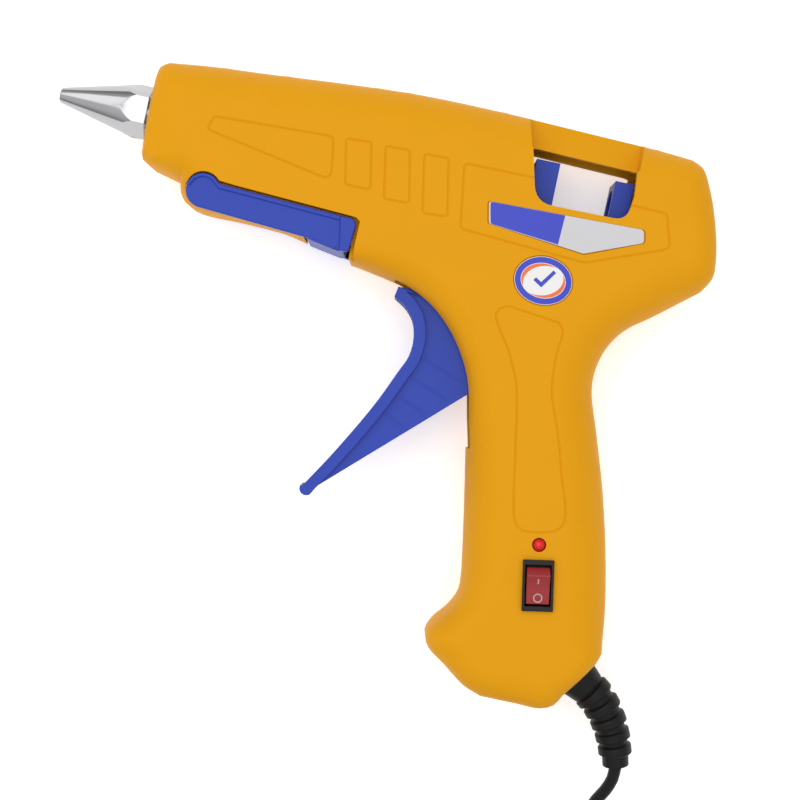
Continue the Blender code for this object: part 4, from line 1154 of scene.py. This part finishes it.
yoke = make("stand_moulding", prism([
    through_middle(bar, 15.5), (arm, MID + ARM_LOW, MID + ARM_HIGH), (far_arm, MID - ARM_HIGH, MID - ARM_LOW),
    *both_sides(pad, ARM_LOW, PROUD), *both_sides(rim, ARM_LOW + 0.2, PROUD),
    *both_sides(stud, 10.6, MID - 2.6)]), "stand", "blue_plastic", ("stand",))
bevelled(yoke, 0.4, 3, 40)
tell(yoke)

# %% [markdown]
# ## Switch and lamp
# The mains switch is a small rocker in a glossy black bezel, marked I and O, and the lamp above it is a red
# domed lens. The marks are thin raised shapes so that they catch light as printed ones do.

# %% Switch
switch_at = spot_at(*SWITCH, SWITCH_TURN)
bezel = make("switch_frame", prism([(rectangle((0, 0), (8.2, 13.4), 0.0), -12.4, 0.6),
                                    (rectangle((0, 0), (9.2, 15.1), 0.0), 0.3, 1.3)]),
             "housing", "black_plastic", ("switch_body",), switch_at)
pit = prism([(rectangle((0, 0), (7.5, 12.0), 0.0), -4.0, 5.0)])
boolean(bezel, cutter("pit", pit, switch_at), overlapping=True)
drop(baked(bezel))
bevelled(bezel, 0.3, 3, 35)
side_view = [(-5.5, 1.0), (-5.3, -1.2), (0.0, -2.4), (4.6, -1.6), (5.5, 0.9), (4.6, 1.9), (3.0, 3.0),
             *((y, 1.6 + 1.4 * (y / 3.0) ** 1.2) for y in (2.4, 1.8, 1.2, 0.6)), (0.0, 1.6),
             *((-y, 1.6 - 0.6 * (y / 5.5) ** 1.3) for y in (1.5, 3.0, 4.3))]
rocker_at = switch_at @ Matrix.Rotation(math.pi / 2, 4, "Z") @ Matrix.Rotation(math.pi / 2, 4, "X")
rocker = make("rocker_moulding", prism([(side_view, -3.45, 3.45)]), "rocker", "red_rocker",
              ("switch_rocker",), rocker_at)
bevelled(rocker, 0.3, 3, 30)
tell(bezel, rocker)

# %% Marks on the rocker
MARK_HEIGHT = 0.12


def on_rocker(y, z, tilt):
    """A place on the rocker's face, leaning as the face does there."""
    place = Matrix.Translation((0.0, y * MM, z * MM))
    return switch_at @ place @ Matrix.Rotation(math.radians(tilt), 4, "X")


ring, hole = (arc((0, 0), radius, 0, 352.5, 47) for radius in (1.35, 1.05))
mark_o = make("mark_off", hoop(ring, hole, 0.0, MARK_HEIGHT), "rocker", look=MARK_WHITE,
              at=on_rocker(-3.6, 1.27, 7.0))
mark_i = make("mark_on", prism([(block((0.0, 0.0), 0.17, 1.0), 0.0, MARK_HEIGHT)]), "rocker", look=MARK_WHITE,
              at=on_rocker(1.5, 2.1, 25.0))
tell(mark_o, mark_i)

# %% Lamp
LENS = [(0.0, 1.1), (0.5, 1.05), (0.9, 0.92), (1.25, 0.7), (1.55, 0.35), (1.72, 0.0), (1.8, -0.5),
        (1.8, -3.0), (2.6, -3.0), (2.6, -9.0), (0.0, -9.0)]
lamp = make("lamp_lens", lathe(LENS, 48), "housing", "red_lens", ("indicator_lamp",), spot_at(*LAMP))
smoothed(lamp, 40)
tell(lamp)

# %% [markdown]
# ## Labels
# The long label is foil in a recess, blue at its front end and silver behind, with a thin border. The oval
# sticker has a blue ring and two orange arcs. All their lettering is left out.

# %% Long label
PAPER = (THICK - 0.3, THICK - 0.1)
PRINT = (THICK - 0.11, THICK - 0.05)
BLUE_EDGE = ((51.9, 49.8), (49.8, 41.4))
BORDER = 0.45


def stuck(name, outline, heights, slot, stands_for=(), look=None):
    made = make(name, prism([(outline, *heights)]), "housing", slot, stands_for, look=look)
    return bevelled(made, 0.04, 1, 40)


def front_part(outline, a, b, inset):
    """The part of a convex outline in front of the line from a to b, pulled in a little."""
    a, b = np.array(a), np.array(b)
    normal = np.array([a[1] - b[1], b[0] - a[0]])
    middle = np.array(outline).mean(axis=0)
    inwards = [middle - np.array(p) for p in outline]
    points = [np.array(p) + way / np.linalg.norm(way) * inset for p, way in zip(outline, inwards)]
    found = []
    for p, q in zip(points, points[1:] + points[:1]):
        dp, dq = (p - a) @ normal, (q - a) @ normal
        if dp <= 0:
            found.append(tuple(p))
        if (dp > 0) != (dq > 0):
            found.append(tuple(p + (q - p) * dp / (dp - dq)))
    return found


label_outline = rounded(LABEL)
foil = stuck("label_foil", label_outline, PAPER, "side_label", ("side_label",))
blue_part = stuck("label_blue_part", front_part(label_outline, *BLUE_EDGE, BORDER),
                  (THICK - 0.12, THICK - 0.04), "side_label", look=LABEL_BLUE)
tell(foil, blue_part)

# %% Oval sticker
def crescent(start, end, wide=0.2, pieces=24):
    """An arc's outline, widest in its middle and pointed at both ends."""
    angles = np.linspace(start, end, pieces + 1)
    found = []
    for a, hollow in [*((a, 0.0) for a in angles), *((a, wide) for a in angles[-2:0:-1])]:
        size = 1 - hollow * math.sin(math.pi * (a - start) / (end - start))
        turn = math.radians(a)
        found.append(on_sticker(6.5 * size * math.cos(turn), 5.0 * size * math.sin(turn)))
    return found


TICK = [(42.6, 31.2), (43.4, 32.0), (44.9, 30.6), (48.6, 34.0), (49.3, 33.2), (44.9, 29.0)]
paper = stuck("sticker_paper", oval(0.0), PAPER, "sticker", ("oval_sticker",))
blue_ring = make("sticker_ring", hoop(oval(-0.15), oval(-1.85), THICK - 0.11, THICK - 0.04), "housing",
                 "sticker", look=LABEL_BLUE)
arcs = [stuck(f"sticker_arc_{i}", crescent(*ends), PRINT, "sticker", look=STICKER_RED)
        for i, ends in ((1, (60.0, 215.0)), (2, (240.0, 395.0)))]
tick = stuck("sticker_tick", TICK, PRINT, "sticker", look=LABEL_BLUE)
tell(paper, blue_ring, *arcs, tick)

# %% [markdown]
# ## Parts inside
# The heater, the sleeve, the wires and the clamps are seen only through the openings. They keep their CAD
# shapes and take the procedural finish of their slot.

# %% Finishes on the CAD parts
slot_of = {row["node"]: row["material_slot"] for row in frame["record"]["subparts"]}
for name, node in frame["nodes"].items():
    look = LOOKS[slot_of[name]]
    if node.material_slots:
        for place in node.material_slots:
            place.material = look
    else:
        node.data.materials.append(look)
print("CAD parts kept as they are:", sum(not n.hide_render for n in frame["nodes"].values()))

# %% [markdown]
# ## Floor and light
# A plain pale floor and broad soft lights, as in a light tent, leave only a faint shadow round the gun. The
# tent is darker near the floor, so that bright metal has something dark to mirror.

# %% Floor
bm = bmesh.new()
bmesh.ops.create_grid(bm, x_segments=1, y_segments=1, size=3000.0)
floor_mesh = mesh_from(bm, "floor")
floor_mesh.transform(Matrix.Scale(MM, 4))
floor = bpy.data.objects.new("floor", floor_mesh)
floor.location.z = -0.02 * MM
bpy.context.scene.collection.objects.link(floor)
floor_look = finish("floor_white", (0.94, 0.94, 0.94), 0.9, drift=0.0, spread=0.02)
glow = floor_look.node_tree.nodes["Principled BSDF"]
glow.inputs["Emission Color"].default_value = (1.0, 1.0, 1.0, 1.0)
glow.inputs["Emission Strength"].default_value = 0.4
floor.data.materials.append(floor_look)
floor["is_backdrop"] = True
print("floor, mm:", [round(side / MM) for side in floor_mesh.vertices[3].co * 2])

# %% Light
world = bpy.data.worlds.new("tent")
world.use_nodes = True
tent = world.node_tree
sky = tent.nodes["Background"]
sky.inputs["Color"].default_value = (1.0, 1.0, 1.0, 1.0)
heading = tent.nodes.new("ShaderNodeTexCoord")
split = tent.nodes.new("ShaderNodeSeparateXYZ")
tent.links.new(heading.outputs["Generated"], split.inputs["Vector"])
rise = tent.nodes.new("ShaderNodeMapRange")
for socket, value in (("From Min", 0.12), ("From Max", 0.55), ("To Min", 0.3), ("To Max", 0.88)):
    rise.inputs[socket].default_value = value
tent.links.new(split.outputs["Z"], rise.inputs["Value"])
tent.links.new(rise.outputs["Result"], sky.inputs["Strength"])
bpy.context.scene.world = world
for name, place, power, size in (("overhead", (-60.0, 90.0, 900.0), 1.9, 600.0),
                                 ("side", (-450.0, 380.0, 600.0), 0.5, 400.0)):
    light = bpy.data.lights.new(name, "AREA")
    light.energy = power
    light.size = size * MM
    source = bpy.data.objects.new(name, light)
    source.location = Vector(place) * MM
    source.rotation_mode = "QUATERNION"
    source.rotation_quaternion = (Vector((0, 0, 0)) - source.location).to_track_quat("-Z", "Y")
    bpy.context.scene.collection.objects.link(source)
    print(name, "light, W:", power)

# %% Sizes and the end
low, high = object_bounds()
print("visual box, mm:", [round((b - a) / MM, 1) for a, b in zip(low, high)])
